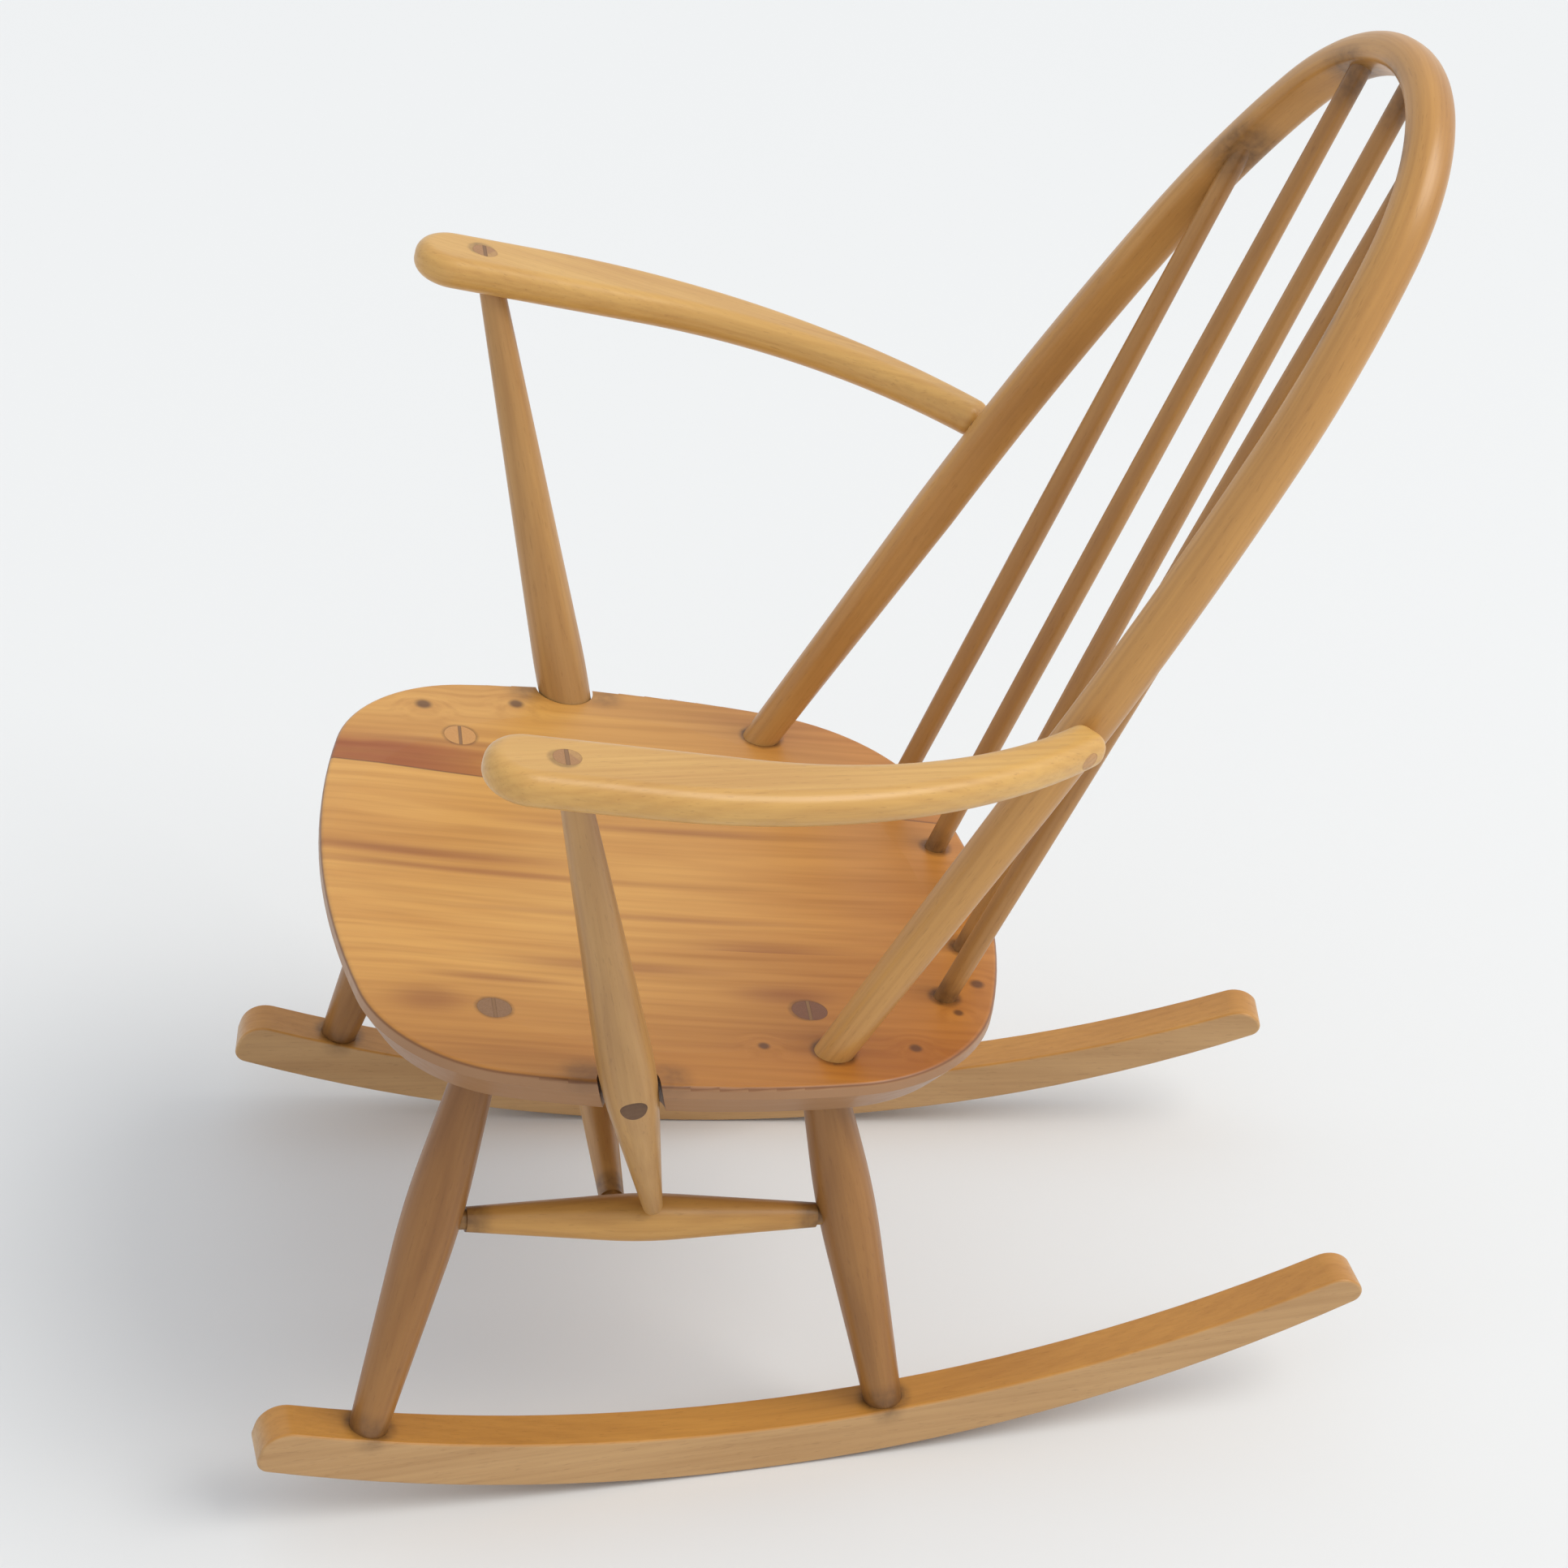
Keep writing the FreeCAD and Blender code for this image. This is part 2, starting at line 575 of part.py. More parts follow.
def hoop_blank(label, grow=0.0):
    """The steam-bent hoop: one pipe over the bends, and legs that slim down to round feet."""
    body = doc.addObject("PartDesign::Body", label)
    body.Placement = hoop_frame
    arcs = hoop_arcs()
    path = new_sketch(body, label + "_path", "XZ_Plane")
    flip = SimpleNamespace(
        start=Vector(-arcs.start.x, arcs.start.y, 0),
        side_end=Vector(-arcs.side_end.x, arcs.side_end.y, 0),
        shoulder_end=Vector(-arcs.shoulder_end.x, arcs.shoulder_end.y, 0))
    path.addGeometry(arc_about(arcs.side_centre, arcs.start, arcs.side_end))
    path.addGeometry(arc_about(arcs.shoulder_centre, arcs.side_end, arcs.shoulder_end))
    path.addGeometry(arc_about(arcs.crown_centre, arcs.shoulder_end, flip.shoulder_end))
    left_shoulder = Vector(-arcs.shoulder_centre.x, arcs.shoulder_centre.y, 0)
    path.addGeometry(arc_about(left_shoulder, flip.shoulder_end, flip.side_end))
    left_side = Vector(-arcs.side_centre.x, arcs.side_centre.y, 0)
    path.addGeometry(arc_about(left_side, flip.side_end, flip.start))
    whole = (
        size.hoop_face + 2 * grow, size.hoop_depth + 2 * grow,
        size.hoop_inner_round + grow, size.hoop_outer_round + grow)
    foot_width = size.hoop_foot + 2 * grow
    foot_round = foot_width / 2 - HOOP_FOOT_FLAT
    foot = (foot_width, foot_width, foot_round, foot_round)
    section = section_sketch(body, label + "_section", size.hoop_spread, size.hoop_straight, *whole)
    bend = body.newObject("PartDesign::AdditivePipe", label + "_bend")
    bend.Profile = section
    bend.Spine = (path, ["Edge1", "Edge2", "Edge3", "Edge4", "Edge5"])
    for name, side in (("left", size.hoop_spread), ("right", -size.hoop_spread)):
        upper = section_sketch(body, label + "_upper_" + name, side, size.hoop_straight, *whole)
        lower = section_sketch(body, label + "_lower_" + name, side, 0, *foot)
        leg = body.newObject("PartDesign::AdditiveLoft", label + "_leg_" + name)
        leg.Profile = upper
        leg.Sections = [lower]
        leg.Ruled = True
        tenon = section_sketch(body, label + "_tenon_" + name, side, 0, *foot)
        stub = body.newObject("PartDesign::Pad", label + "_stub_" + name)
        stub.Profile = tenon
        stub.Reversed = True
        stub.Length = size.hoop_socket + 2 * grow
    return body


# Arms

def arm_places():
    """Ends of the middle of the arm's bend in its plan, with the outward directions there and the
    direction to the back at its start."""
    first = math.radians(size.arm_heading)
    last = math.radians(size.arm_heading + size.arm_turn)
    start = Vector(size.arm_side, 0, 0)
    swing = Vector(math.cos(last) - math.cos(first), math.sin(last) - math.sin(first), 0)
    return SimpleNamespace(
        start=start, end=start + swing * size.arm_bend,
        start_out=Vector(math.cos(first), math.sin(first), 0),
        start_back=Vector(-math.sin(first), math.cos(first), 0),
        end_out=Vector(math.cos(last), math.sin(last), 0))


def tangent_arc(start, out, end):
    """The arc that leaves start square to out and arrives at end."""
    radius = (start - end).dot(start - end) / (2 * out.dot(start - end))
    return arc_about(start - out * radius, start, end)


def arm_blank():
    """The arm's sawn plan, broad at the front and slim where it laps the hoop, rounded all over."""
    body = doc.addObject("PartDesign::Body", "arm_blank")
    body.Placement = arm_frame
    at = arm_places()
    half = size.arm_width / 2
    rear_half = size.arm_rear_width / 2
    to_front = at.start_back * (half - size.arm_front)
    outer = at.start + at.start_out * half
    inner = at.start - at.start_out * half
    inner_bend = inner + at.start_back * size.arm_inner_start
    tip = at.start - at.start_back * size.arm_front
    outer_end = at.end + at.end_out * rear_half
    inner_end = at.end - at.end_out * rear_half
    plan = new_sketch(body, "arm_plan", "XY_Plane")
    plan.addGeometry(line(outer + to_front, outer))
    plan.addGeometry(tangent_arc(outer, at.start_out, outer_end))
    plan.addGeometry(line(outer_end, inner_end))
    plan.addGeometry(tangent_arc(inner_bend, at.start_out, inner_end))
    plan.addGeometry(line(inner_bend, inner + to_front))
    plan.addGeometry(Part.Arc(inner + to_front, tip, outer + to_front))
    slab = body.newObject("PartDesign::Pad", "arm_slab")
    slab.Profile = plan
    slab.Midplane = True
    slab.setExpression("Length", "Sizes.arm_thickness")
    doc.recompute()
    ends = body.newObject("PartDesign::Fillet", "arm_end_corners")
    ends.Base = (slab, edges_through(slab, [outer_end, inner_end], flat_to_plan))
    ends.setExpression("Radius", "Sizes.arm_end_corner")
    doc.recompute()
    half_thick = size.arm_thickness / 2
    rounding = body.newObject("PartDesign::Fillet", "arm_rounding")
    rounding.Base = (ends, edges_at_height(ends, half_thick) + edges_at_height(ends, -half_thick))
    rounding.setExpression("Radius", "Sizes.arm_round")
    return body


# Blanks that several pieces share
board = seat_board()
dish = dish_ball()
above_seat = block_above("above_seat", seat_frame, 0)
rocker = rocker_blank()
hoop = hoop_blank("hoop_blank")
hoop_cope = hoop_blank("hoop_cope", size.glue_gap)
arm = arm_blank()
seat_tools = [dish]
rocker_tools = []
hoop_tools = []
arm_tools = [hoop_cope]


# Legs, their wedges and their sockets

def make_leg(name, top, foot):
    """A leg that tapers into the seat and the rocker, split and wedged in the seat's top."""
    length = (top - foot).Length
    fullest = length * size.leg_fullness
    foot_radius = taper((0, size.leg_foot / 2), (fullest, size.leg_belly / 2))
    head_radius = taper((fullest, size.leg_belly / 2), (length, size.leg_top / 2))
    end = length + OVERRUN
    stations = eased([
        (-size.leg_socket, foot_radius(-size.leg_socket)),
        (fullest, size.leg_belly / 2),
        (end, head_radius(end)),
    ], 1, size.leg_swell)
    blank = turned(name + "_blank", stations, 1, size.leg_swell)
    place = along(foot, top)
    blank.Placement = place
    flush = cut(name + "_flush", blank, [above_seat, dish])
    under_seat = length - HOLE_START * size.seat_thickness
    seat_hole = tapered_hole(name + "_seat_hole", taper(*stations[1:]), place, under_seat, end)
    seat_tools.extend([seat_hole, mirrored(name + "_seat_hole_right", seat_hole)])
    bottom = -size.leg_socket - size.glue_gap
    rocker_tools.append(
        tapered_hole(name + "_rocker_hole", taper(*stations[:2]), place, bottom, size.leg_foot))
    wedge_box, slot_box = wedge_and_slot(name, place, length, size.leg_top)
    return flush, slot_box, common(name + "_wedge", flush, wedge_box)


front_top = seat_frame.multVec(Vector(size.front_leg_side, -size.front_leg_ahead, 0))
rear_top = seat_frame.multVec(Vector(size.rear_leg_side, size.rear_leg_behind, 0))
front_foot = rocker_top_point(-size.front_foot_ahead)
rear_foot = rocker_top_point(size.rear_foot_behind)
front_leg, front_slot, front_wedge = make_leg("front_leg", front_top, front_foot)
rear_leg, rear_slot, rear_wedge = make_leg("rear_leg", rear_top, rear_foot)


# Stretchers

def make_stretcher(name, start, end, skin, belly):
    """A barrel between two shoulders, with a thin tenon at each end. The skin is the depth of wood
    between an end point and the surface that the tenon enters."""
    length = (end - start).Length
    first = skin + size.stretcher_neck
    last = length - first
    tenon = size.stretcher_tenon / 2
    shoulder = size.stretcher_end / 2
    stations = [
        (skin - size.tenon_depth, tenon),
        (first, tenon),
        (first, shoulder),
        (length / 2, belly / 2),
        (last, shoulder),
        (last, tenon),
        (length - skin + size.tenon_depth, tenon),
    ]
    body = turned(name, eased(stations, 3, size.stretcher_swell), 3, size.stretcher_swell)
    body.Placement = along(start, end)
    low = skin - size.tenon_depth - size.glue_gap
    return body, straight_hole(name + "_hole", "Sizes.stretcher_tenon / 2", body.Placement, low, length - low)


front_joint = front_foot + (front_top - front_foot) * size.stretcher_front_share
rear_joint = rear_foot + (rear_top - rear_foot) * size.stretcher_rear_share
side_stretcher, side_hole = make_stretcher(
    "side_stretcher_blank", front_joint, rear_joint, size.leg_belly / 2, size.stretcher_belly)
cross_joint = front_joint + (rear_joint - front_joint) * size.cross_share
cross_other = Vector(-cross_joint.x, cross_joint.y, cross_joint.z)
cross_stretcher, cross_hole = make_stretcher(
    "cross_stretcher_blank", cross_joint, cross_other, size.stretcher_belly / 2, size.cross_belly)

# Hoop sockets and spindles
hoop_leg_place = Placement(hoop_leg_point(0), hoop_frame.Rotation)
hoop_socket = straight_hole(
    "hoop_socket", "Sizes.hoop_foot / 2", hoop_leg_place, -size.hoop_socket - size.glue_gap, size.hoop_socket)
seat_tools.extend([hoop_socket, mirrored("hoop_socket_right", hoop_socket)])


def make_spindle(name, foot_side, ahead, top_side):
    """A slim, slightly barrelled rod from the seat's rear into the hoop, and its two sockets."""
    rear = size.seat_rear_reach - size.spindle_inset - ahead
    foot = seat_frame.multVec(Vector(foot_side, rear, 0))
    top = spindle_top(top_side)
    length = (top - foot).Length
    radius = size.spindle_end / 2
    head = length - size.spindle_head
    stations = [
        (-size.spindle_socket, radius), (0, radius),
        (length * size.spindle_fullness, size.spindle_belly / 2), (head, radius), (length, radius)]
    body = turned(name + "_blank", eased(stations, 2, size.spindle_swell), 2, size.spindle_swell)
    place = along(foot, top)
    body.Placement = place
    low = straight_hole(
        name + "_seat_socket", "Sizes.spindle_end / 2", place,
        -size.spindle_socket - size.glue_gap, size.spindle_end)
    high = straight_hole(
        name + "_hoop_socket", "Sizes.spindle_end / 2", place, head, length + size.glue_gap)
    seat_tools.append(low)
    hoop_tools.append(high)
    return body, low, high


spindle_plan = [
    ("outer", size.outer_spindle_side, size.outer_spindle_rise, size.outer_spindle_top),
    ("inner", size.inner_spindle_side, size.inner_spindle_rise, size.inner_spindle_top),
]
keep("middle_spindle", make_spindle("middle_spindle", 0, 0, 0)[0])
for place, foot_side, ahead, top_side in spindle_plan:
    spindle, seat_socket, top_socket = make_spindle(place + "_spindle", foot_side, ahead, top_side)
    seat_tools.append(mirrored(seat_socket.Name + "_right", seat_socket))
    hoop_tools.append(mirrored(top_socket.Name + "_right", top_socket))
    keep(place + "_spindle_left", spindle)
    keep(place + "_spindle_right", mirrored(place + "_spindle_other", spindle))

# Arm posts
at = arm_places()
post_plan = at.start - at.start_back * (size.arm_front - size.post_behind_tip)
post_head = arm_frame.multVec(post_plan + Z_AXIS * (size.arm_thickness / 2))
post_seat = seat_frame.multVec(Vector(size.post_seat_side, -size.post_seat_ahead, 0))
post_frame = along(post_seat, post_head)
post_length = (post_head - post_seat).Length
post_end = post_length + OVERRUN
post_radius = taper((0, size.post_belly / 2), (post_length, size.post_top / 2))
post_stations = eased([
    (size.post_tip / 2 - size.post_drop, size.post_tip / 2),
    (0, size.post_belly / 2),
    (post_end, post_radius(post_end)),
], 1, size.post_swell)
post_blank = turned("post_blank", post_stations, 1, size.post_swell, size.post_tip / 2)
post_blank.Placement = post_frame
above_arm = block_above("above_arm", arm_frame, size.arm_thickness / 2)
post_flush = cut("post_flush", post_blank, [above_arm])
under_arm = post_length - HOLE_START * size.arm_thickness
arm_tools.append(
    tapered_hole("arm_post_hole", taper(*post_stations[1:]), post_frame, under_arm, post_end))
post_wedge_box, post_slot_box = wedge_and_slot("post", post_frame, post_length, size.post_top)
post_wedge = common("post_wedge", post_flush, post_wedge_box)

# Seat notch for a post: a round inner end that the post seats against, open at the seat's edge
notch_radius = size.post_belly / 2 + size.notch_play
notch_mouth = 2 * size.post_belly
notch = doc.addObject("PartDesign::Body", "notch")
notch_centre = Vector(size.notch_play - size.notch_gap, 0, 0)
notch.Placement = Placement(post_frame.multVec(notch_centre), post_frame.Rotation)
notch_plan = new_sketch(notch, "notch_plan", "XY_Plane")
notch_near = Vector(0, -notch_radius, 0)
notch_far = Vector(0, notch_radius, 0)
mouth_near = Vector(notch_mouth, -notch_radius, 0)
mouth_far = Vector(notch_mouth, notch_radius, 0)
notch_plan.addGeometry(Part.Arc(notch_near, Vector(-notch_radius, 0, 0), notch_far))
notch_plan.addGeometry(line(notch_far, mouth_far))
notch_plan.addGeometry(line(mouth_far, mouth_near))
notch_plan.addGeometry(line(mouth_near, notch_near))
notch_pad = notch.newObject("PartDesign::Pad", "notch_pad")
notch_pad.Profile = notch_plan
notch_pad.Midplane = True
notch_pad.setExpression("Length", "Sizes.seat_thickness * 4")
seat_tools.extend([notch, mirrored("notch_right", notch)])


# Screws and plugs

def make_screw(name, start, towards, skin_depth, bite):
    """A countersunk screw driven from start: the head, a shank and the clearance hole's tool."""
    head = bound("Part::Cone", name + "_head", Radius1="Sizes.screw_head / 2",
                 Radius2="Sizes.screw_shank / 2", Height="Sizes.screw_head_height")
    shank = bound("Part::Cylinder", name + "_shank", Radius="Sizes.screw_shank / 2",
                  Height="%f" % (skin_depth + bite))
    hole_head = bound("Part::Cone", name + "_hole_head", Radius1="Sizes.screw_head / 2 + Sizes.glue_gap",
                      Radius2="Sizes.screw_shank / 2 + Sizes.glue_gap", Height="Sizes.screw_head_height")
    hole_shank = bound("Part::Cylinder", name + "_hole_shank",
                       Radius="Sizes.screw_shank / 2 + Sizes.glue_gap",
                       Height="%f + Sizes.glue_gap" % (skin_depth + bite))
    for item in (head, shank, hole_head, hole_shank):
        item.Placement = along(start, start + towards, Z_AXIS)
    screw = doc.addObject("Part::Fuse", name)
    screw.Base = head
    screw.Tool = shank
    return screw, grouped(name + "_hole", [hole_head, hole_shank])


post_middle = post_frame.multVec(Vector(0, 0, -size.seat_thickness / 2))
well_floor = post_middle + X_AXIS * (size.post_belly / 2 - size.post_plug_depth)
post_skin = size.post_belly - size.post_plug_depth
post_screw, post_screw_hole = make_screw(
    "post_screw", well_floor, X_AXIS * -1, post_skin, size.post_screw_bite)
post_well = bound("Part::Cylinder", "post_well", Radius="Sizes.post_plug / 2 + Sizes.glue_gap",
                  Height="Sizes.post_belly")
post_well.Placement = along(well_floor, well_floor + X_AXIS, Z_AXIS)
post_plug = bound("Part::Cylinder", "post_plug", Radius="Sizes.post_plug / 2",
                  Height="Sizes.post_plug_depth - Sizes.post_plug_sunk - Sizes.glue_gap")
plug_foot = well_floor + X_AXIS * size.glue_gap
post_plug.Placement = along(plug_foot, plug_foot + X_AXIS, Z_AXIS)
seat_tools.extend([post_screw_hole, mirrored("post_screw_hole_right", post_screw_hole)])

arm_end = arm_frame.multVec(at.end)
lap_height = (arm_end.z - hoop_frame.Base.z) / math.cos(math.radians(size.hoop_tilt))
lap_point = hoop_leg_point(lap_height)
forward = arm_frame.Rotation.multVec(Vector(0, -size.arm_plug_ahead, 0))
plug_base = lap_point + forward + X_AXIS * (size.hoop_face / 2 + size.arm_plug_start)
arm_screw, arm_screw_hole = make_screw(
    "arm_screw", plug_base, X_AXIS * -1, size.arm_plug_start, size.arm_screw_bite)
arm_well = bound("Part::Cylinder", "arm_well", Radius="Sizes.arm_plug / 2 + Sizes.glue_gap",
                 Height="Sizes.arm_width")
arm_well.Placement = along(plug_base, plug_base + X_AXIS, Z_AXIS)
plug_rod = bound("Part::Cylinder", "arm_plug_rod", Radius="Sizes.arm_plug / 2", Height="Sizes.arm_width")
plug_start = plug_base + X_AXIS * size.glue_gap
plug_rod.Placement = along(plug_start, plug_start + X_AXIS, Z_AXIS)
arm_plug = common("arm_plug_left", arm, plug_rod)
arm_tools.extend([arm_screw_hole, arm_well])
hoop_tools.extend([arm_screw_hole, mirrored("arm_screw_hole_right", arm_screw_hole)])

# Finished pieces
keep("seat", cut("seat_piece", board, seat_tools))
keep("hoop", cut("hoop_piece", hoop, hoop_tools))
left_rocker = keep("rocker_left", cut("rocker_piece", rocker, rocker_tools))
left_front = keep("front_leg_left", cut("front_leg_piece", front_leg, [front_slot, side_hole]))
left_rear = keep("rear_leg_left", cut("rear_leg_piece", rear_leg, [rear_slot, side_hole]))
left_side = keep("side_stretcher_left", cut("side_stretcher_piece", side_stretcher, [cross_hole]))
keep("cross_stretcher", cross_stretcher)
left_arm = keep("arm_left", cut("arm_piece", arm, arm_tools))
left_post = keep("arm_post_left", cut("post_piece", post_flush, [post_slot_box, post_screw_hole, post_well]))
for node, source in (
        ("rocker_right", left_rocker), ("front_leg_right", left_front), ("rear_leg_right", left_rear),
        ("side_stretcher_right", left_side), ("arm_right", left_arm), ("arm_post_right", left_post)):
    keep(node, mirrored(node, source))
for node, items in (
        ("leg_wedges", [front_wedge, rear_wedge]), ("post_wedges", [post_wedge]),
        ("post_plugs", [post_plug]), ("arm_plugs", [arm_plug]),
        ("post_screws", [post_screw]), ("arm_screws", [arm_screw])):
    others = [mirrored(item.Name + "_other", item) for item in items]
    keep(node, grouped(node, items + others))

doc.recompute()

# Check the whole document, then write one file for each node
for item in doc.Objects:
    if {"Invalid", "Error"} & set(item.State):
        raise RuntimeError("%s did not compute: %s" % (item.Name, item.State))
os.makedirs("parts", exist_ok=True)
for node, item in pieces.items():
    shape = item.Shape
    if shape.isNull() or not shape.isValid():
        raise RuntimeError("%s has no valid shape" % node)
    print("%-24s solids %d  volume %9.0f mm3" % (node, len(shape.Solids), shape.Volume))
    shape.exportStep("parts/%s.step" % node)
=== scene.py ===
# %% [markdown]
# The chair is a spindle-back rocking armchair: an elm seat, a steam-bent beech hoop, turned beech
# spindles, legs, stretchers and arm posts, sawn arms and two sawn rockers. Its solids come from the
# imported frame, in metres, and this lesson gives each of them its timber, its finish, its wear and
# some painted shade.

# %% Load the frame and bake its placement into the solids
import math

import bpy
import numpy as np
from mathutils import Euler, Matrix, Vector


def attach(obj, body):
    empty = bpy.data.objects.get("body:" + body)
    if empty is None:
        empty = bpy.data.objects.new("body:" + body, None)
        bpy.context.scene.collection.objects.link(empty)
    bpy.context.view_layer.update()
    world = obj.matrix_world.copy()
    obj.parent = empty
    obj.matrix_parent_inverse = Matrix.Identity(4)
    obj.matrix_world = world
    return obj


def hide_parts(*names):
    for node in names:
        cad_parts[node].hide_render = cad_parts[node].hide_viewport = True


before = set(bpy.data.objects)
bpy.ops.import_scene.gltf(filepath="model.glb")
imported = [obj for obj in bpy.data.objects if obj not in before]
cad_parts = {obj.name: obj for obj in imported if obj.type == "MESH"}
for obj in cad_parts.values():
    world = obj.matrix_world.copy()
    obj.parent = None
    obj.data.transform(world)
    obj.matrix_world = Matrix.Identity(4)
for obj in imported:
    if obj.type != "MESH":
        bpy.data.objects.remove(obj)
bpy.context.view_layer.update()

# %% [markdown]
# Colours are given as sRGB hex values, the way a paint card gives them. Blender's shaders work
# in linear light, so one function turns the first into the second.

# %% A hex colour as linear light
def hex_colour(text):
    """Linear red, green, blue and alpha of an sRGB hex value such as C98F4B."""
    channels = []
    for start in (0, 2, 4):
        value = int(text[start:start + 2], 16) / 255
        channels.append(value / 12.92 if value <= 0.04045 else ((value + 0.055) / 1.055) ** 2.4)
    return (*channels, 1.0)


# %% Add one node
def add(tree, kind, settings=(), values=()):
    """Adds a shader node, sets its own properties, and sets or links its sockets by name or number."""
    node = tree.nodes.new("ShaderNode" + kind)
    for name, value in dict(settings).items():
        setattr(node, name, value)
    for key, value in dict(values).items():
        if isinstance(value, bpy.types.NodeSocket):
            tree.links.new(value, node.inputs[key])
        else:
            node.inputs[key].default_value = value
    return node


TWO_COLOURS = {"data_type": "RGBA"}   # a Mix node with colours: factor 0, first 6, second 7, result 2
TINT = {"data_type": "RGBA", "blend_type": "MULTIPLY"}
SMOOTH = {"interpolation_type": "SMOOTHSTEP"}

# %% [markdown]
# Wood is a bundle of fibres, and every pattern on it is long along them and narrow across them. So
# each piece needs to know its fibre direction. A turned or sawn piece is cut with the fibres along its
# length, and the longest principal axis of its vertices is that direction, so it isn't typed in.

# %% The fibre direction of a piece
def fibre_frame(node):
    """The centre of a node's vertices, a rotation that lays its longest principal axis on Z, and how far
    the piece reaches from the centre along that axis."""
    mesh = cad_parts[node].data
    points = np.empty(len(mesh.vertices) * 3)
    mesh.vertices.foreach_get("co", points)
    points = points.reshape(-1, 3)
    centre = (points.min(axis=0) + points.max(axis=0)) / 2
    spread = np.linalg.svd(points - points.mean(axis=0), full_matrices=False)[2]
    along = spread[0] * (1 if spread[0] @ (0, 0.3, 1) > 0 else -1)
    across = spread[1]
    turn = Matrix((across, np.cross(along, across), along))
    reach = (points - centre) @ along
    return {"centre": Vector(centre), "turn": turn, "along": Vector(along),
            "low": reach.min(), "high": reach.max()}


fibres = {node: fibre_frame(node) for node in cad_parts}
print("the near front leg runs along", [round(v, 2) for v in fibres["front_leg_left"]["along"]])

# %% [markdown]
# A growth ring is a cylinder round the heart of the tree. A board or a turned rod is cut a few
# centimetres away from the heart and a degree or two out of line with it, which turns the rings into
# long flowing lines with an arch here and there. The materials below are that: rings round a heart line
# outside the piece, bent by a slow noise, with fine fibres, and darkening where hands and dust get and
# painted shade where parts meet.

# %% Coordinates that run with the fibres
def fibre_space(tree, fibre, shift):
    """A vector in metres with Z along the fibres, from the piece's frame or, where it has none, from
    its mesh's grain attribute. The shift slides the pattern, so that pieces differ in figure."""
    if fibre is None:
        own = add(tree, "Attribute", {"attribute_name": "grain"}).outputs["Vector"]
        return add(tree, "Mapping", (), {"Vector": own, "Location": shift}).outputs[0]
    place = add(tree, "TexCoord").outputs["Object"]
    moved = Vector(shift) - fibre["turn"] @ fibre["centre"]
    return add(tree, "Mapping", (), {
        "Vector": place, "Location": moved, "Rotation": fibre["turn"].to_euler()}).outputs[0]


# %% Growth rings
RING_UNIT = 0.1 * math.pi          # the wave texture's period at scale 1, in metres


def growth_rings(tree, space, heart, lean, spacing, waver, profile):
    """Rings round a heart line: a wave of the distance to it, after a slow noise has moved the point
    by about waver. Heart is the line's offset in metres, lean its tilt in degrees and spacing the ring
    width in metres."""
    slow = add(tree, "Mapping", (), {"Vector": space, "Scale": (22, 22, 3.2)}).outputs[0]
    drift = add(tree, "TexNoise", (), {"Vector": slow, "Scale": 1.0, "Detail": 2.5}).outputs["Color"]
    centred = add(tree, "VectorMath", {"operation": "SUBTRACT"}, {
        0: drift, 1: (0.5, 0.5, 0.5)}).outputs[0]
    bent = add(tree, "VectorMath", {"operation": "MULTIPLY_ADD"}, {
        0: centred, 1: (waver, waver, 0), 2: space}).outputs[0]
    placed = add(tree, "Mapping", (), {
        "Vector": bent, "Location": (heart[0], heart[1], 0),
        "Rotation": (math.radians(lean), math.radians(lean / 2), 0)}).outputs[0]
    ring = {"wave_type": "RINGS", "rings_direction": "Z", "wave_profile": profile}
    return add(tree, "TexWave", ring, {
        "Vector": placed, "Scale": RING_UNIT / spacing, "Distortion": 0.6, "Detail": 2.0,
        "Detail Scale": 1.5}).outputs["Fac"]


# %% Grime and painted shade near named places
def grime_and_painted_shade(tree, places):
    """How darkly a point is painted, from 0 to 1, as grime and as shade where parts meet: the strongest
    of the places, each (point, full radius, clean radius, strength) in metres, broken up by a noise of
    about 6 mm."""
    here = add(tree, "TexCoord").outputs["Object"]
    total = None
    for point, full, clean, strength in places:
        apart = add(tree, "VectorMath", {"operation": "DISTANCE"}, {
            0: here, 1: tuple(point)}).outputs["Value"]
        share = add(tree, "MapRange", SMOOTH, {
            "Value": apart, "From Min": full, "From Max": clean, "To Min": strength,
            "To Max": 0.0}).outputs[0]
        total = share if total is None else add(
            tree, "Math", {"operation": "MAXIMUM"}, {0: total, 1: share}).outputs[0]
    patchy = add(tree, "TexNoise", (), {"Vector": here, "Scale": 170.0, "Detail": 3.0}).outputs["Fac"]
    rough = add(tree, "MapRange", (), {
        "Value": patchy, "From Min": 0.3, "From Max": 0.7, "To Min": 0.6, "To Max": 1.15}).outputs[0]
    return add(tree, "Math", {"operation": "MULTIPLY", "use_clamp": True}, {
        0: total, 1: rough}).outputs[0]


# %% Clear lacquer over the colour
GRAIN_RELIEF = 0.00015             # height of the raised grain, in metres


def lacquered(tree, colour, relief, gloss):
    """The shader: lacquered wood under a thin clear coat. Relief is a height from 0 to 1 of the raised
    grain, and the wood is rougher where it is high. Gloss is the least roughness."""
    rough = add(tree, "MapRange", (), {
        "Value": relief, "From Min": 0.2, "From Max": 0.8, "To Min": gloss,
        "To Max": gloss + 0.14}).outputs[0]
    bump = add(tree, "Bump", (), {
        "Strength": 0.35, "Distance": GRAIN_RELIEF, "Height": relief}).outputs[0]
    shader = add(tree, "BsdfPrincipled", (), {
        "Base Color": colour, "Roughness": rough, "Normal": bump, "IOR": 1.5, "Specular IOR Level": 0.4,
        "Coat Weight": 0.22, "Coat Roughness": 0.26})
    tree.links.new(shader.outputs[0], add(tree, "OutputMaterial").inputs["Surface"])


# %% [markdown]
# Beech is pale, close-grained and pinkish to golden under old lacquer. Turned or sawn, it shows faint
# rings, drawn here 4 to 7 mm apart, soft patches where the lacquer lies thicker, and short dark rays.
# Real rays are too fine for the picture, so they are drawn about 1 mm wide.

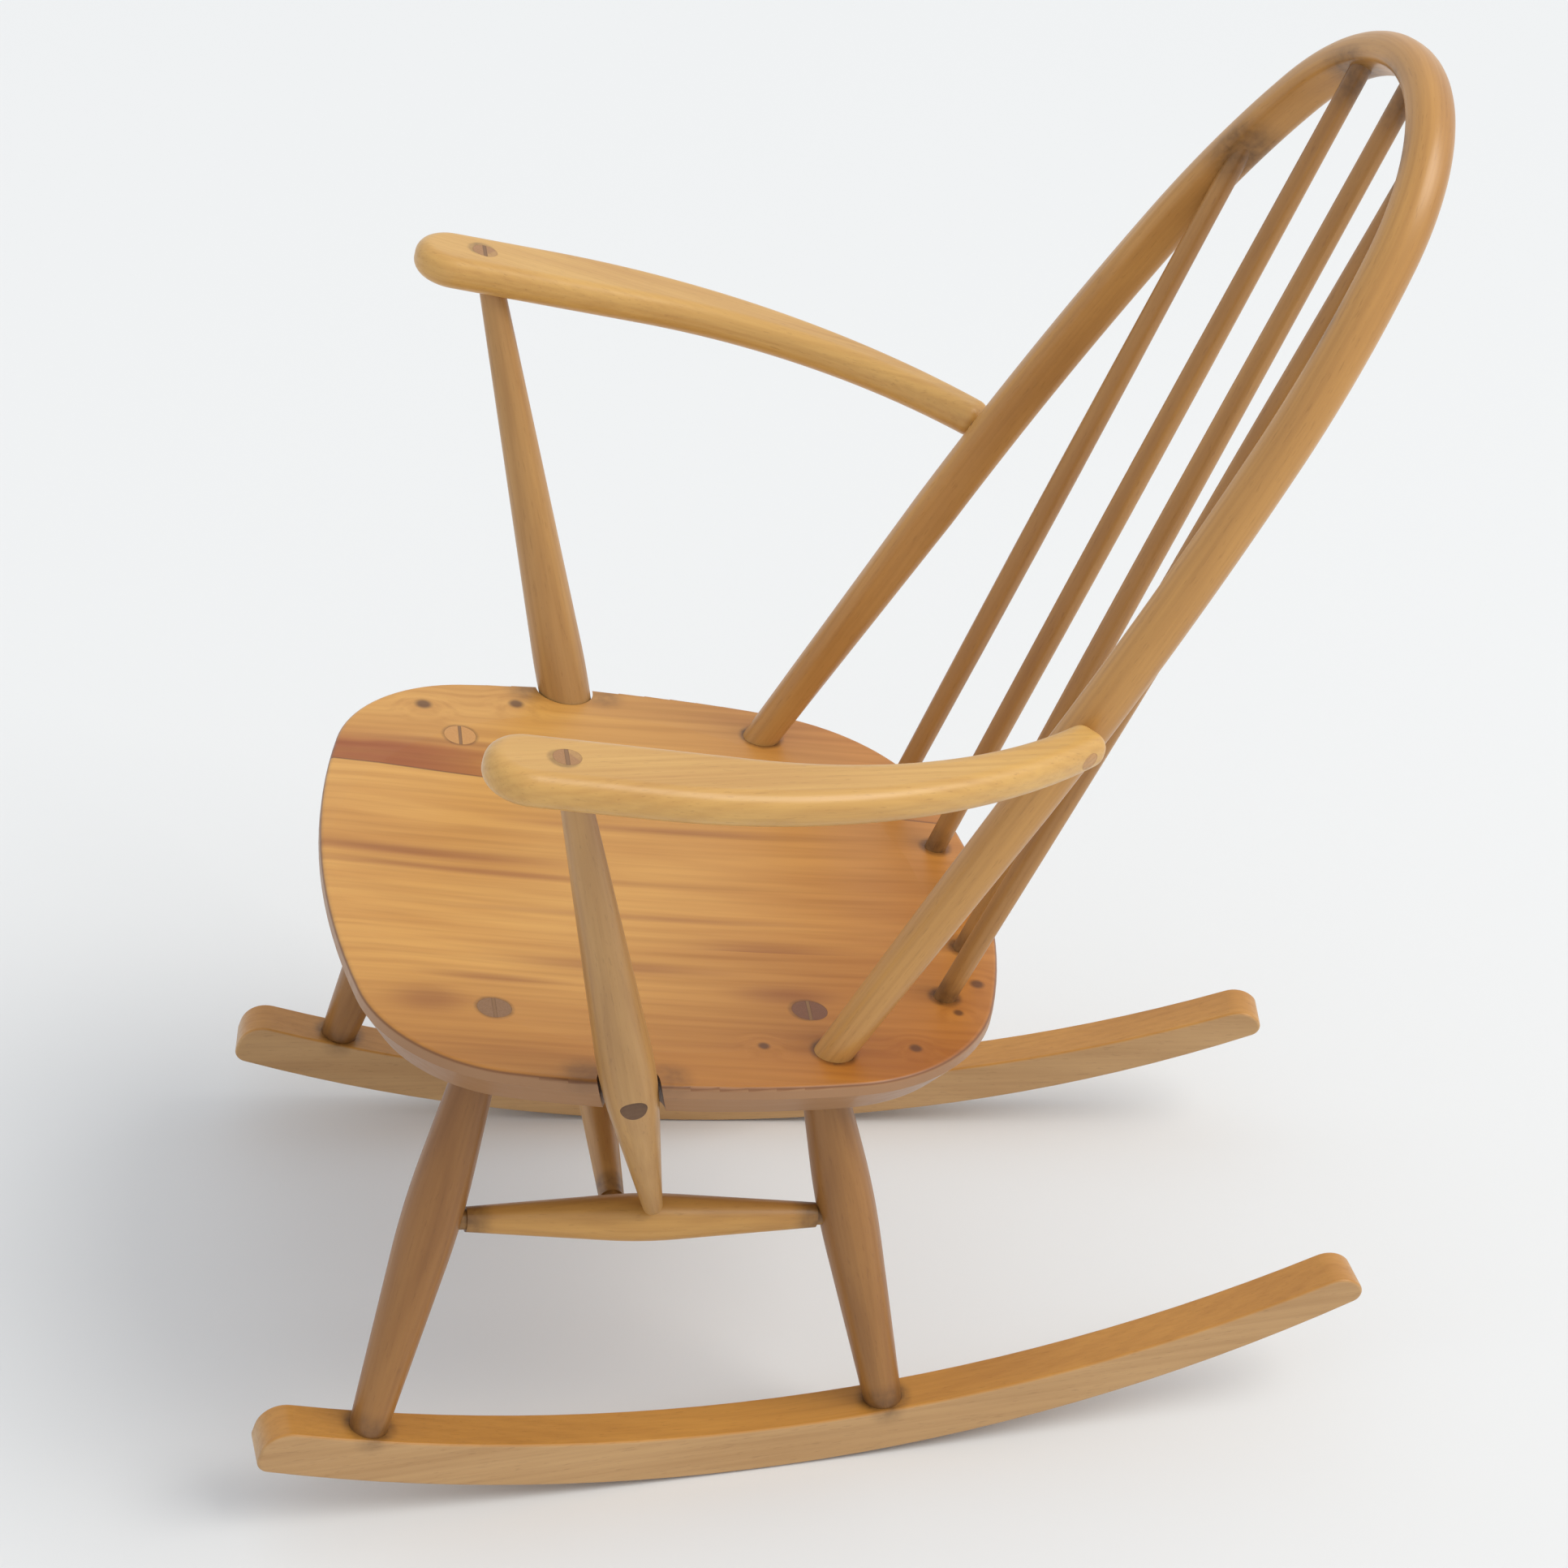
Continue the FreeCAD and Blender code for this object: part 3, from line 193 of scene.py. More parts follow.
# %% Lacquered beech
INNER_SIDE = (-0.009, 0.001)       # how far out the painted shade and dust on a bent rod's inner side is full, and ends


def beech(name, fibre, pale, deep, shift, marks=(), heart=(0.05, 0.02), spacing=0.0055, ends=None,
          gloss=0.34, top=None, end_tones=("5E3D22", "86592F"), inside_only=False):
    """Lacquered beech. Pale and deep are the colours between and in the rings. Along the fibres the
    colour turns from ends[0] to ends[1] into the two end tones of cut fibres. Top tints what faces up.
    Inside_only keeps the marks to the side of a bent rod that faces the chair's middle."""
    material = bpy.data.materials.new(name)
    material.use_nodes = True
    tree = material.node_tree
    tree.nodes.clear()
    space = fibre_space(tree, fibre, shift)
    rings = growth_rings(tree, space, heart, 1.6, spacing, 0.016, "SIN")
    patches = add(tree, "Mapping", (), {"Vector": space, "Scale": (30, 30, 5)}).outputs[0]
    clouds = add(tree, "TexNoise", (), {"Vector": patches, "Scale": 1.0, "Detail": 3.0}).outputs["Fac"]
    streaks = add(tree, "Mapping", (), {"Vector": space, "Scale": (420, 420, 9)}).outputs[0]
    fibre_lines = add(tree, "TexNoise", (), {
        "Vector": streaks, "Scale": 1.0, "Detail": 2.0}).outputs["Fac"]
    rays = add(tree, "Mapping", (), {"Vector": space, "Scale": (900, 900, 110)}).outputs[0]
    specks = add(tree, "TexNoise", (), {"Vector": rays, "Scale": 1.0, "Detail": 1.0}).outputs["Fac"]
    ring_share = add(tree, "MapRange", (), {
        "Value": rings, "From Min": 0.35, "From Max": 1.0, "To Min": 0.0, "To Max": 0.16}).outputs[0]
    cloud_share = add(tree, "MapRange", (), {
        "Value": clouds, "From Min": 0.35, "From Max": 0.7, "To Min": 0.0, "To Max": 0.6}).outputs[0]
    both = add(tree, "Math", {"operation": "ADD", "use_clamp": True}, {
        0: ring_share, 1: cloud_share}).outputs[0]
    colour = add(tree, "Mix", TWO_COLOURS, {
        0: both, 6: hex_colour(pale), 7: hex_colour(deep)}).outputs[2]
    line_share = add(tree, "MapRange", (), {
        "Value": fibre_lines, "From Min": 0.4, "From Max": 0.75, "To Min": 0.0,
        "To Max": 0.12}).outputs[0]
    colour = add(tree, "Mix", TINT, {0: line_share, 6: colour, 7: hex_colour("8A6038")}).outputs[2]
    speck_share = add(tree, "MapRange", (), {
        "Value": specks, "From Min": 0.64, "From Max": 0.74, "To Min": 0.0, "To Max": 0.16}).outputs[0]
    colour = add(tree, "Mix", TINT, {0: speck_share, 6: colour, 7: hex_colour("7A5230")}).outputs[2]
    if top:
        normal = add(tree, "NewGeometry").outputs["Normal"]
        upward = add(tree, "SeparateXYZ", (), {0: normal}).outputs["Z"]
        share = add(tree, "MapRange", SMOOTH, {
            "Value": upward, "From Min": 0.25, "From Max": 0.9, "To Min": 0.0,
            "To Max": 0.85}).outputs[0]
        colour = add(tree, "Mix", TINT, {0: share, 6: colour, 7: hex_colour(top)}).outputs[2]
    if ends:
        inside = add(tree, "Mapping", (), {
            "Vector": add(tree, "TexCoord").outputs["Object"], "Rotation": fibre["turn"].to_euler(),
            "Location": -(fibre["turn"] @ fibre["centre"])}).outputs[0]
        reach = add(tree, "SeparateXYZ", (), {0: inside}).outputs["Z"]
        share = add(tree, "MapRange", SMOOTH, {
            "Value": reach, "From Min": ends[0], "From Max": ends[1], "To Min": 0.0,
            "To Max": 1.0}).outputs[0]
        cut_end = add(tree, "Mix", TWO_COLOURS, {
            0: specks, 6: hex_colour(end_tones[0]), 7: hex_colour(end_tones[1])}).outputs[2]
        colour = add(tree, "Mix", TWO_COLOURS, {0: share, 6: colour, 7: cut_end}).outputs[2]
    # Marks darken the wood: grime, and painted shade where parts meet
    if marks:
        dirt_and_shade = grime_and_painted_shade(tree, marks)
        if inside_only:
            # The bent rod's grain vector has the outward distance from its centre line as X
            outwards = add(tree, "SeparateXYZ", (), {0: space}).outputs["X"]
            inner_share = add(tree, "MapRange", SMOOTH, {
                "Value": outwards, "From Min": shift[0] + INNER_SIDE[0],
                "From Max": shift[0] + INNER_SIDE[1], "To Min": 1.0, "To Max": 0.0}).outputs[0]
            dirt_and_shade = add(tree, "Math", {"operation": "MULTIPLY"}, {0: dirt_and_shade, 1: inner_share}).outputs[0]
        colour = add(tree, "Mix", TWO_COLOURS, {0: dirt_and_shade, 6: colour, 7: hex_colour("3B2413")}).outputs[2]
    lacquered(tree, colour, fibre_lines, gloss)
    return material


def dress(node, material):
    """Gives a node of the frame one material."""
    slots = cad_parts[node].data.materials
    slots.clear()
    slots.append(material)


# %% [markdown]
# The seat lies tilted back, and its sockets and knots are given in its own plane: across from the
# middle, and back from its widest line. The function puts such a place into the frame.

# %% Places on the seat, in metres
SEAT_TILT = math.radians(7.8)      # how far the seat drops towards the back
SEAT_BACK = -0.1211                # its widest line
SEAT_HEIGHT = 0.324


def on_seat(across, back):
    """The point of the seat's top this far across and back, in metres."""
    return Vector((across, SEAT_BACK + back * math.cos(SEAT_TILT),
                   SEAT_HEIGHT - back * math.sin(SEAT_TILT)))


HOOP_FOOT = (0.177, 0.1205)
SPINDLE_FEET = [(0.0, 0.229), (0.057, 0.220), (0.112, 0.199)]
NOTCH_SIDE = 0.212                 # where the arm posts' notches open, and how far back
NOTCH_CORNERS = (-0.034, 0.018)
HOOP_HOLE = 0.0115                 # radii of the holes, with the width of the darkening round each
SPINDLE_HOLE = 0.0075
TENON_HOLE = 0.0108
# Widths of the darkening: round a socket it is dust and painted shade, round a tenon a dark joint
SOCKET_DUST_AND_SHADE = 0.005
TENON_GRIME = 0.0027
leg_heads = [fibres[n]["centre"] + fibres[n]["along"] * fibres[n]["high"]
             for n in ("front_leg_left", "front_leg_right", "rear_leg_left", "rear_leg_right")]
# Dust and painted shade where the hoop and the spindles enter the seat
seat_grime_and_shade = [(on_seat(side * HOOP_FOOT[0], HOOP_FOOT[1]), HOOP_HOLE, HOOP_HOLE + SOCKET_DUST_AND_SHADE, 0.75)
              for side in (1, -1)]
seat_grime_and_shade += [(on_seat(side * across, back), SPINDLE_HOLE, SPINDLE_HOLE + SOCKET_DUST_AND_SHADE, 0.7)
               for across, back in SPINDLE_FEET for side in (1, -1)]
# Dark joint rings round the leg tenons
seat_grime_and_shade += [(point, TENON_HOLE, TENON_HOLE + TENON_GRIME, 0.45) for point in leg_heads]
# Painted shade of the arm posts on the seat beside each notch's mouth
seat_grime_and_shade += [(on_seat(side * NOTCH_SIDE, back), 0.003, 0.018, 0.4)
               for back in NOTCH_CORNERS for side in (1, -1)]
print("places to darken on the seat:", len(seat_grime_and_shade))

# %% [markdown]
# The seat is elm: boards glued edge to edge with the fibres from front to back, then bottomed with a
# shallow dish. Elm has brown figure and small knots, and the rings flow round a knot. The board on the
# sitter's right has a brown band of heartwood and starts at a glue line that shows.

# %% Lacquered elm for the seat
GLUE_LINE = -0.1015                # where the outer board starts, at the seat's widest line
GLUE_SLANT = 0.07                  # how far the line leans across for each metre back
LEFT_BOARD = 0.072                 # where the board on the sitter's left starts, with no line to see
OUTER_SLIDE = 0.083                # how far the figure of these two boards is slid against the middle's
LEFT_SLIDE = 0.031
# Knots as (across, back, radius), and streaks as (across, back, half width, half length)
KNOTS = [(-0.187, -0.104, 0.0060), (-0.196, -0.042, 0.0055), (0.096, 0.222, 0.0050),
         (0.168, 0.172, 0.0045), (0.175, 0.078, 0.0040), (0.128, 0.205, 0.0035)]
STREAKS = [(-0.014, -0.12, 0.008, 0.12), (0.002, -0.08, 0.005, 0.16), (0.150, -0.05, 0.006, 0.050),
           (0.128, 0.03, 0.008, 0.08), (0.178, -0.09, 0.016, 0.028), (0.075, 0.095, 0.016, 0.060),
           (0.040, 0.02, 0.004, 0.14), (-0.060, 0.05, 0.005, 0.12), (0.150, 0.130, 0.012, 0.040)]


def elm_seat():
    """Rings round a heart line below the boards, bent round the knots, with a banded outer board."""
    material = bpy.data.materials.new("elm_glued_boards_carved_and_lacquered")
    material.use_nodes = True
    tree = material.node_tree
    tree.nodes.clear()
    here = add(tree, "TexCoord").outputs["Object"]
    # X across, Y up, Z back along the fibres, as in the other timbers
    lay = Euler((math.radians(90) + SEAT_TILT, 0, 0))
    flat = add(tree, "Mapping", (), {
        "Vector": here, "Rotation": lay, "Location": -(lay.to_matrix() @ on_seat(0, 0))}).outputs[0]
    parts = add(tree, "SeparateXYZ", (), {0: flat})
    across = parts.outputs["X"]
    back = parts.outputs["Z"]
    edge = add(tree, "Math", {"operation": "MULTIPLY_ADD"}, {
        0: back, 1: -GLUE_SLANT, 2: -GLUE_LINE}).outputs[0]
    from_joint = add(tree, "Math", {"operation": "ADD"}, {0: across, 1: edge}).outputs[0]
    outer_board = add(tree, "Math", {"operation": "LESS_THAN"}, {0: from_joint, 1: 0.0}).outputs[0]
    left_board = add(tree, "Math", {"operation": "GREATER_THAN"}, {0: across, 1: LEFT_BOARD}).outputs[0]
    # Each knot pushes the rings aside
    push = None
    knot_dark = None
    for side, rear, radius in KNOTS:
        apart = add(tree, "VectorMath", {"operation": "DISTANCE"}, {
            0: here, 1: tuple(on_seat(side, rear))}).outputs["Value"]
        shove = add(tree, "MapRange", SMOOTH, {
            "Value": apart, "From Min": 0.0, "From Max": radius * 5, "To Min": radius * 2.4,
            "To Max": 0.0}).outputs[0]
        spot = add(tree, "MapRange", SMOOTH, {
            "Value": apart, "From Min": radius * 0.45, "From Max": radius * 1.25, "To Min": 0.8,
            "To Max": 0.0}).outputs[0]
        push = shove if push is None else add(
            tree, "Math", {"operation": "ADD"}, {0: push, 1: shove}).outputs[0]
        knot_dark = spot if knot_dark is None else add(
            tree, "Math", {"operation": "MAXIMUM"}, {0: knot_dark, 1: spot}).outputs[0]
    slide = add(tree, "Math", {"operation": "MULTIPLY_ADD"}, {
        0: outer_board, 1: OUTER_SLIDE, 2: push}).outputs[0]
    slide = add(tree, "Math", {"operation": "MULTIPLY_ADD"}, {
        0: left_board, 1: LEFT_SLIDE, 2: slide}).outputs[0]
    offset = add(tree, "CombineXYZ", (), {0: slide, 1: push, 2: slide}).outputs[0]
    space = add(tree, "VectorMath", {"operation": "ADD"}, {0: flat, 1: offset}).outputs[0]
    rings = growth_rings(tree, space, (0.03, 0.075), 1.1, 0.0120, 0.040, "SIN")
    patches = add(tree, "Mapping", (), {"Vector": space, "Scale": (16, 16, 3)}).outputs[0]
    clouds = add(tree, "TexNoise", (), {"Vector": patches, "Scale": 1.0, "Detail": 3.5}).outputs["Fac"]
    streaks = add(tree, "Mapping", (), {"Vector": space, "Scale": (190, 190, 5)}).outputs[0]
    fibre_lines = add(tree, "TexNoise", (), {
        "Vector": streaks, "Scale": 1.0, "Detail": 2.5}).outputs["Fac"]
    ring_share = add(tree, "MapRange", (), {
        "Value": rings, "From Min": 0.25, "From Max": 1.0, "To Min": 0.0, "To Max": 0.20}).outputs[0]
    cloud_share = add(tree, "MapRange", (), {
        "Value": clouds, "From Min": 0.35, "From Max": 0.68, "To Min": 0.0, "To Max": 0.62}).outputs[0]
    both = add(tree, "Math", {"operation": "ADD", "use_clamp": True}, {
        0: ring_share, 1: cloud_share}).outputs[0]
    colour = add(tree, "Mix", TWO_COLOURS, {
        0: both, 6: hex_colour("D8A254"), 7: hex_colour("B97E37")}).outputs[2]
    # Brown streaks of old heartwood, long along the fibres
    for side, rear, half_width, half_length in STREAKS:
        local = add(tree, "Mapping", (), {
            "Vector": space, "Location": (-side / half_width, 0, -rear / half_length),
            "Scale": (1 / half_width, 0, 1 / half_length)}).outputs[0]
        apart = add(tree, "VectorMath", {"operation": "LENGTH"}, {0: local}).outputs["Value"]
        near = add(tree, "MapRange", SMOOTH, {
            "Value": apart, "From Min": 0.1, "From Max": 1.25, "To Min": 0.95, "To Max": 0.0}).outputs[0]
        broken = add(tree, "Math", {"operation": "MULTIPLY"}, {0: near, 1: clouds}).outputs[0]
        colour = add(tree, "Mix", TWO_COLOURS, {
            0: broken, 6: colour, 7: hex_colour("8A4A20")}).outputs[2]
    # A brown band of heartwood runs along the outer board's glue line and fades towards the back
    beside = add(tree, "MapRange", SMOOTH, {
        "Value": from_joint, "From Min": -0.046, "From Max": -0.026, "To Min": 0.0,
        "To Max": 1.0}).outputs[0]
    frontward = add(tree, "MapRange", SMOOTH, {
        "Value": back, "From Min": -0.14, "From Max": 0.04, "To Min": 1.0, "To Max": 0.12}).outputs[0]
    banded = add(tree, "Math", {"operation": "MULTIPLY"}, {0: beside, 1: frontward}).outputs[0]
    banded = add(tree, "Math", {"operation": "MULTIPLY"}, {0: banded, 1: outer_board}).outputs[0]
    streaky = add(tree, "MapRange", (), {
        "Value": rings, "From Min": 0.0, "From Max": 1.0, "To Min": 0.55, "To Max": 1.0}).outputs[0]
    banded = add(tree, "Math", {"operation": "MULTIPLY"}, {0: banded, 1: streaky}).outputs[0]
    colour = add(tree, "Mix", TINT, {0: banded, 6: colour, 7: hex_colour("C49478")}).outputs[2]
    # The rear is more golden brown than the worn front
    rearward = add(tree, "MapRange", SMOOTH, {
        "Value": back, "From Min": -0.05, "From Max": 0.24, "To Min": 0.0, "To Max": 0.75}).outputs[0]
    colour = add(tree, "Mix", TINT, {0: rearward, 6: colour, 7: hex_colour("DDB98C")}).outputs[2]
    # The sitter's left side is browner
    leftward = add(tree, "MapRange", SMOOTH, {
        "Value": across, "From Min": 0.05, "From Max": 0.22, "To Min": 0.0, "To Max": 0.8}).outputs[0]
    colour = add(tree, "Mix", TINT, {0: leftward, 6: colour, 7: hex_colour("D6BC84")}).outputs[2]
    line_share = add(tree, "MapRange", (), {
        "Value": fibre_lines, "From Min": 0.42, "From Max": 0.74, "To Min": 0.0,
        "To Max": 0.17}).outputs[0]
    colour = add(tree, "Mix", TINT, {0: line_share, 6: colour, 7: hex_colour("8C5A30")}).outputs[2]
    # The glue line, drawn about 1 mm wide so that it shows, and then the knots
    off_line = add(tree, "Math", {"operation": "ABSOLUTE"}, {0: from_joint}).outputs[0]
    seam = add(tree, "MapRange", SMOOTH, {
        "Value": off_line, "From Min": 0.0003, "From Max": 0.0012, "To Min": 0.55,
        "To Max": 0.0}).outputs[0]
    colour = add(tree, "Mix", TWO_COLOURS, {0: seam, 6: colour, 7: hex_colour("4A2A14")}).outputs[2]
    colour = add(tree, "Mix", TWO_COLOURS, {0: knot_dark, 6: colour, 7: hex_colour("4C2913")}).outputs[2]
    # The arris is painted with a dark line of shade where the surface turns from facing up, and the edge
    # and the bevel below it are dull and tan, partly end grain and dirt and partly painted shade, by the
    # way they face
    facing = add(tree, "SeparateXYZ", (), {0: add(tree, "NewGeometry").outputs["Normal"]}).outputs["Z"]
    arris_painted_shade = add(tree, "MapRange", SMOOTH, {
        "Value": facing, "From Min": 0.60, "From Max": 0.95, "To Min": 0.85, "To Max": 0.0}).outputs[0]
    colour = add(tree, "Mix", TWO_COLOURS, {0: arris_painted_shade, 6: colour, 7: hex_colour("6F4526")}).outputs[2]
    turned_out_end_grain_and_shade = add(tree, "MapRange", SMOOTH, {
        "Value": facing, "From Min": 0.20, "From Max": 0.62, "To Min": 0.88, "To Max": 0.0}).outputs[0]
    edge_tan_and_shade = add(tree, "Mix", TWO_COLOURS, {
        0: clouds, 6: hex_colour("B0845C"), 7: hex_colour("8E6642")}).outputs[2]
    colour = add(tree, "Mix", TWO_COLOURS, {0: turned_out_end_grain_and_shade, 6: colour, 7: edge_tan_and_shade}).outputs[2]
    # Grime and painted shade round the sockets, tenons and notches, from the places above
    colour = add(tree, "Mix", TWO_COLOURS, {
        0: grime_and_painted_shade(tree, seat_grime_and_shade), 6: colour, 7: hex_colour("3A2212")}).outputs[2]
    lacquered(tree, colour, fibre_lines, 0.36)
    return material


dress("seat", elm_seat())
print("the seat has", len(KNOTS), "knots and", len(STREAKS), "brown streaks")

# %% [markdown]
# The hoop starts as a straight rod and is bent after steaming, so its fibres follow the whole curve. A
# pattern on straight coordinates would cut across the bends and look sawn. So the hoop is made
# again as a surface: its section is carried along its own path, and each point keeps where it lies in
# the straight rod, which the beech then reads.

# %% The hoop's path
HOOP_TILT = math.radians(32.4)
HOOP_SOCKET = 0.018                # depth of its foot in the seat
HOOP_STRAIGHT = 0.200              # height at which the leg starts to bend
SIDE_RADIUS = 1.480
SIDE_TURN = math.radians(9.7)
SHOULDER_RADIUS = 0.450
SHOULDER_TURN = math.radians(26)   # the lean of the path's normal where the crown starts


def hoop_half(steps):
    """Half of the hoop's centre line in its own plane, from the foot to the top: a straight leg and
    three arcs that touch. Returns points, outward normals and the length run so far."""
    heights = np.linspace(-HOOP_SOCKET, HOOP_STRAIGHT, steps)
    points = [np.stack([np.full(steps, HOOP_FOOT[0]), heights], axis=1)]
    normals = [np.tile((1.0, 0.0), (steps, 1))]
    start = np.array((HOOP_FOOT[0], HOOP_STRAIGHT))
    turned = 0.0
    arcs = [(SIDE_RADIUS, SIDE_TURN), (SHOULDER_RADIUS, SHOULDER_TURN), (None, math.pi / 2)]
    for radius, last in arcs:
        out = np.array((math.cos(turned), math.sin(turned)))
        if radius is None:
            radius = start[0] / math.cos(turned)   # the crown's centre lies on the chair's middle
        centre = start - out * radius
        angle = np.linspace(turned, last, 2 * steps)[1:]
        out = np.stack([np.cos(angle), np.sin(angle)], axis=1)
        points.append(centre + out * radius)
        normals.append(out)
        start = points[-1][-1]
        turned = last
    points = np.concatenate(points)
    normals = np.concatenate(normals)
    run = np.concatenate([[0.0], np.cumsum(np.linalg.norm(np.diff(points, axis=0), axis=1))])
    return points, normals, run


half_points, half_normals, half_run = hoop_half(24)
flip = np.array((-1.0, 1.0))
centre_line = np.concatenate([half_points, (half_points * flip)[-2::-1]])
outward = np.concatenate([half_normals, (half_normals * flip)[-2::-1]])
run = np.concatenate([half_run, 2 * half_run[-1] - half_run[-2::-1]])
print("the straight rod is", round(run[-1], 3), "m long")

# %% The hoop's section carried along the path
HOOP_FACE = 0.022                  # across the section, as seen from the front
HOOP_DEPTH = 0.0285                # from the section's front to its back
INNER_ROUND = 0.006                # corner radii, towards the chair's middle and away from it
OUTER_ROUND = 0.013
FOOT_ROUND = 0.0108                # corner radius at the foot, which makes it all but round
HOOP_AT = on_seat(0, HOOP_FOOT[1])


def hoop_surface(corner_steps=9):
    """A rounded rectangle at each point of the path: each corner is a quarter circle whose centre is
    set in by its radius. Towards the foot the section turns into a circle."""
    slim = np.clip((half_run - HOOP_SOCKET) / HOOP_STRAIGHT, 0, 1)
    slim = np.concatenate([slim, slim[-2::-1]])
    depth = HOOP_FACE + (HOOP_DEPTH - HOOP_FACE) * slim
    rings = []
    for out, rear, rounding in ((1, 1, OUTER_ROUND), (-1, 1, INNER_ROUND), (-1, -1, INNER_ROUND),
                                (1, -1, OUTER_ROUND)):
        first = math.atan2(rear, out) - math.pi / 4
        angle = np.linspace(first, first + math.pi / 2, corner_steps)
        radius = FOOT_ROUND + (rounding - FOOT_ROUND) * slim
        side = out * (HOOP_FACE / 2 - radius)[:, None] + radius[:, None] * np.cos(angle)
        back = rear * (depth / 2 - radius)[:, None] + radius[:, None] * np.sin(angle)
        rings.append(np.stack([side, back], axis=2))
    section = np.concatenate(rings, axis=1)
    count, around = section.shape[:2]
    plane = centre_line[:, None, :] + outward[:, None, :] * section[:, :, :1]
    tilt_back = np.array((0.0, math.cos(HOOP_TILT), -math.sin(HOOP_TILT)))
    tilt_up = np.array((0.0, math.sin(HOOP_TILT), math.cos(HOOP_TILT)))
    points = (np.array(HOOP_AT) + plane[:, :, :1] * (1.0, 0.0, 0.0) + section[:, :, 1:] * tilt_back
              + plane[:, :, 1:] * tilt_up)
    grain = np.concatenate([section, np.broadcast_to(run[:, None, None], (count, around, 1))], axis=2)
    index = np.arange(count * around).reshape(count, around)
    after = np.roll(index, -1, axis=1)
    quads = np.stack([index[:-1], after[:-1], after[1:], index[1:]], axis=2).reshape(-1, 4)
    caps = [index[0][::-1].tolist(), index[-1].tolist()]
    mesh = bpy.data.meshes.new("bent_hoop")
    mesh.from_pydata(points.reshape(-1, 3), [], quads.tolist() + caps)
    own = mesh.attributes.new("grain", "FLOAT_VECTOR", "POINT")
    own.data.foreach_set("vector", grain.reshape(-1).astype(np.float32))
    mesh.shade_smooth()
    return mesh


hoop_mesh = hoop_surface()
bent_hoop = bpy.data.objects.new("bent_hoop", hoop_mesh)
bpy.context.scene.collection.objects.link(bent_hoop)
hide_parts("hoop")
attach(bent_hoop, "root")
print("the hoop has", len(hoop_mesh.polygons), "faces")

# %% Painted shade and dust where the spindles enter the hoop
SPINDLE_IN_HOOP = 0.012            # depth of a spindle's head in the hoop
SPINDLE_TOPS = {"middle_spindle": 0.5, "inner_spindle_left": 0.6, "inner_spindle_right": 0.6,
                "outer_spindle_left": 0.6, "outer_spindle_right": 0.6}
hoop_shade_and_dust = []
for node, strength in SPINDLE_TOPS.items():
    head = fibres[node]["centre"] + fibres[node]["along"] * (fibres[node]["high"] - SPINDLE_IN_HOOP)
    # Painted shade in the cleft and on the inner face round each spindle head, with some dust
    hoop_shade_and_dust.append((head, 0.008, 0.034, strength))
hoop_mesh.materials.append(beech(
    "beech_steam_bent_and_lacquered", None, "C69350", "A2713A", (0.013, 0.02, 0.0), hoop_shade_and_dust,
    heart=(0.06, 0.02), spacing=0.0052, gloss=0.28, inside_only=True))
print("marks on the hoop:", len(hoop_shade_and_dust))

# %% [markdown]
# The other pieces keep their solids. Legs, stretchers, posts and spindles are turned from squared
# beech. They are coloured a little greyer and browner than the hoop, and are darkened where they
# meet the rockers, the legs, the seat or the hoop, as dust and as painted shade.

# %% Legs, stretchers, posts and spindles
SOCKET_IN_ROCKER = 0.014
LEG_END = (0.0085, 0.0075)         # depths over which a tenon's colour turns into its end's, on a leg
POST_END = (0.006, 0.005)          # and on an arm post
STRETCHER_SHOULDER = 0.88          # share of half its length at which a stretcher enters the leg
SPINDLE_SHOULDER = 0.017           # from a spindle's end to where it enters the seat or the hoop
TENON_TONES = {"front_leg_left": ("7A5434", "8F6A46"), "rear_leg_left": ("6A402A", "7F5236"),
               "front_leg_right": ("BC8448", "CC9656"), "rear_leg_right": ("704629", "875A38")}
foot_places = []
for number, node in enumerate(("front_leg_left", "front_leg_right", "rear_leg_left", "rear_leg_right")):
    fibre = fibres[node]
    foot = fibre["centre"] + fibre["along"] * (fibre["low"] + SOCKET_IN_ROCKER)
    foot_places.append(foot)
    head_cut = [fibre["high"] - depth for depth in LEG_END]
    # Dust and painted shade where the leg enters the rocker
    marks = [(foot, 0.009, 0.022, 0.6)]
    dress(node, beech("beech_turned_leg_" + node, fibre, "9C6C36", "7E5022",
                      (0.02 * number, 0.03, 0.1 * number), marks, ends=head_cut, gloss=0.34,
                      end_tones=TENON_TONES[node]))
for number, node in enumerate(("side_stretcher_left", "side_stretcher_right", "cross_stretcher")):
    fibre = fibres[node]
    tips = [fibre["centre"] + fibre["along"] * (fibre[end] * STRETCHER_SHOULDER)
            for end in ("low", "high")]
    # Dust and painted shade where the stretcher enters the legs
    marks = [(tip, 0.010, 0.022, 0.55) for tip in tips]
    dress(node, beech("beech_turned_stretcher_" + node, fibre, "C6954E", "A16E31",
                      (0.05 + 0.03 * number, 0.01, 0.2 * number), marks, gloss=0.37))
for number, node in enumerate(("arm_post_left", "arm_post_right")):
    fibre = fibres[node]
    head_cut = [fibre["high"] - depth for depth in POST_END]
    dress(node, beech("beech_turned_post_" + node, fibre, "BC9055", "9C6F3C",
                      (0.11, 0.04 * number, 0.3 * number), ends=head_cut, gloss=0.34,
                      end_tones=("96683C", "AC7E4E")))
for number, node in enumerate(SPINDLE_TOPS):
    fibre = fibres[node]
    tips = [fibre["centre"] + fibre["along"] * (fibre["low"] + SPINDLE_SHOULDER),
            fibre["centre"] + fibre["along"] * (fibre["high"] - SPINDLE_SHOULDER)]
    # Dust and painted shade where the spindle enters the seat and the hoop
    marks = [(tips[0], 0.006, 0.020, 0.6), (tips[1], 0.006, 0.030, 0.55)]
    dress(node, beech("beech_turned_spindle_" + node, fibre, "B48346", "90602C",
                      (0.02 * number, 0.07, 0.13 * number), marks, spacing=0.0045, gloss=0.36))
turned_pieces = [n for n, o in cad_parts.items()
                 if o.data.materials and o.data.materials[0].name.startswith("beech_turned")]
print("turned pieces dressed:", len(turned_pieces))
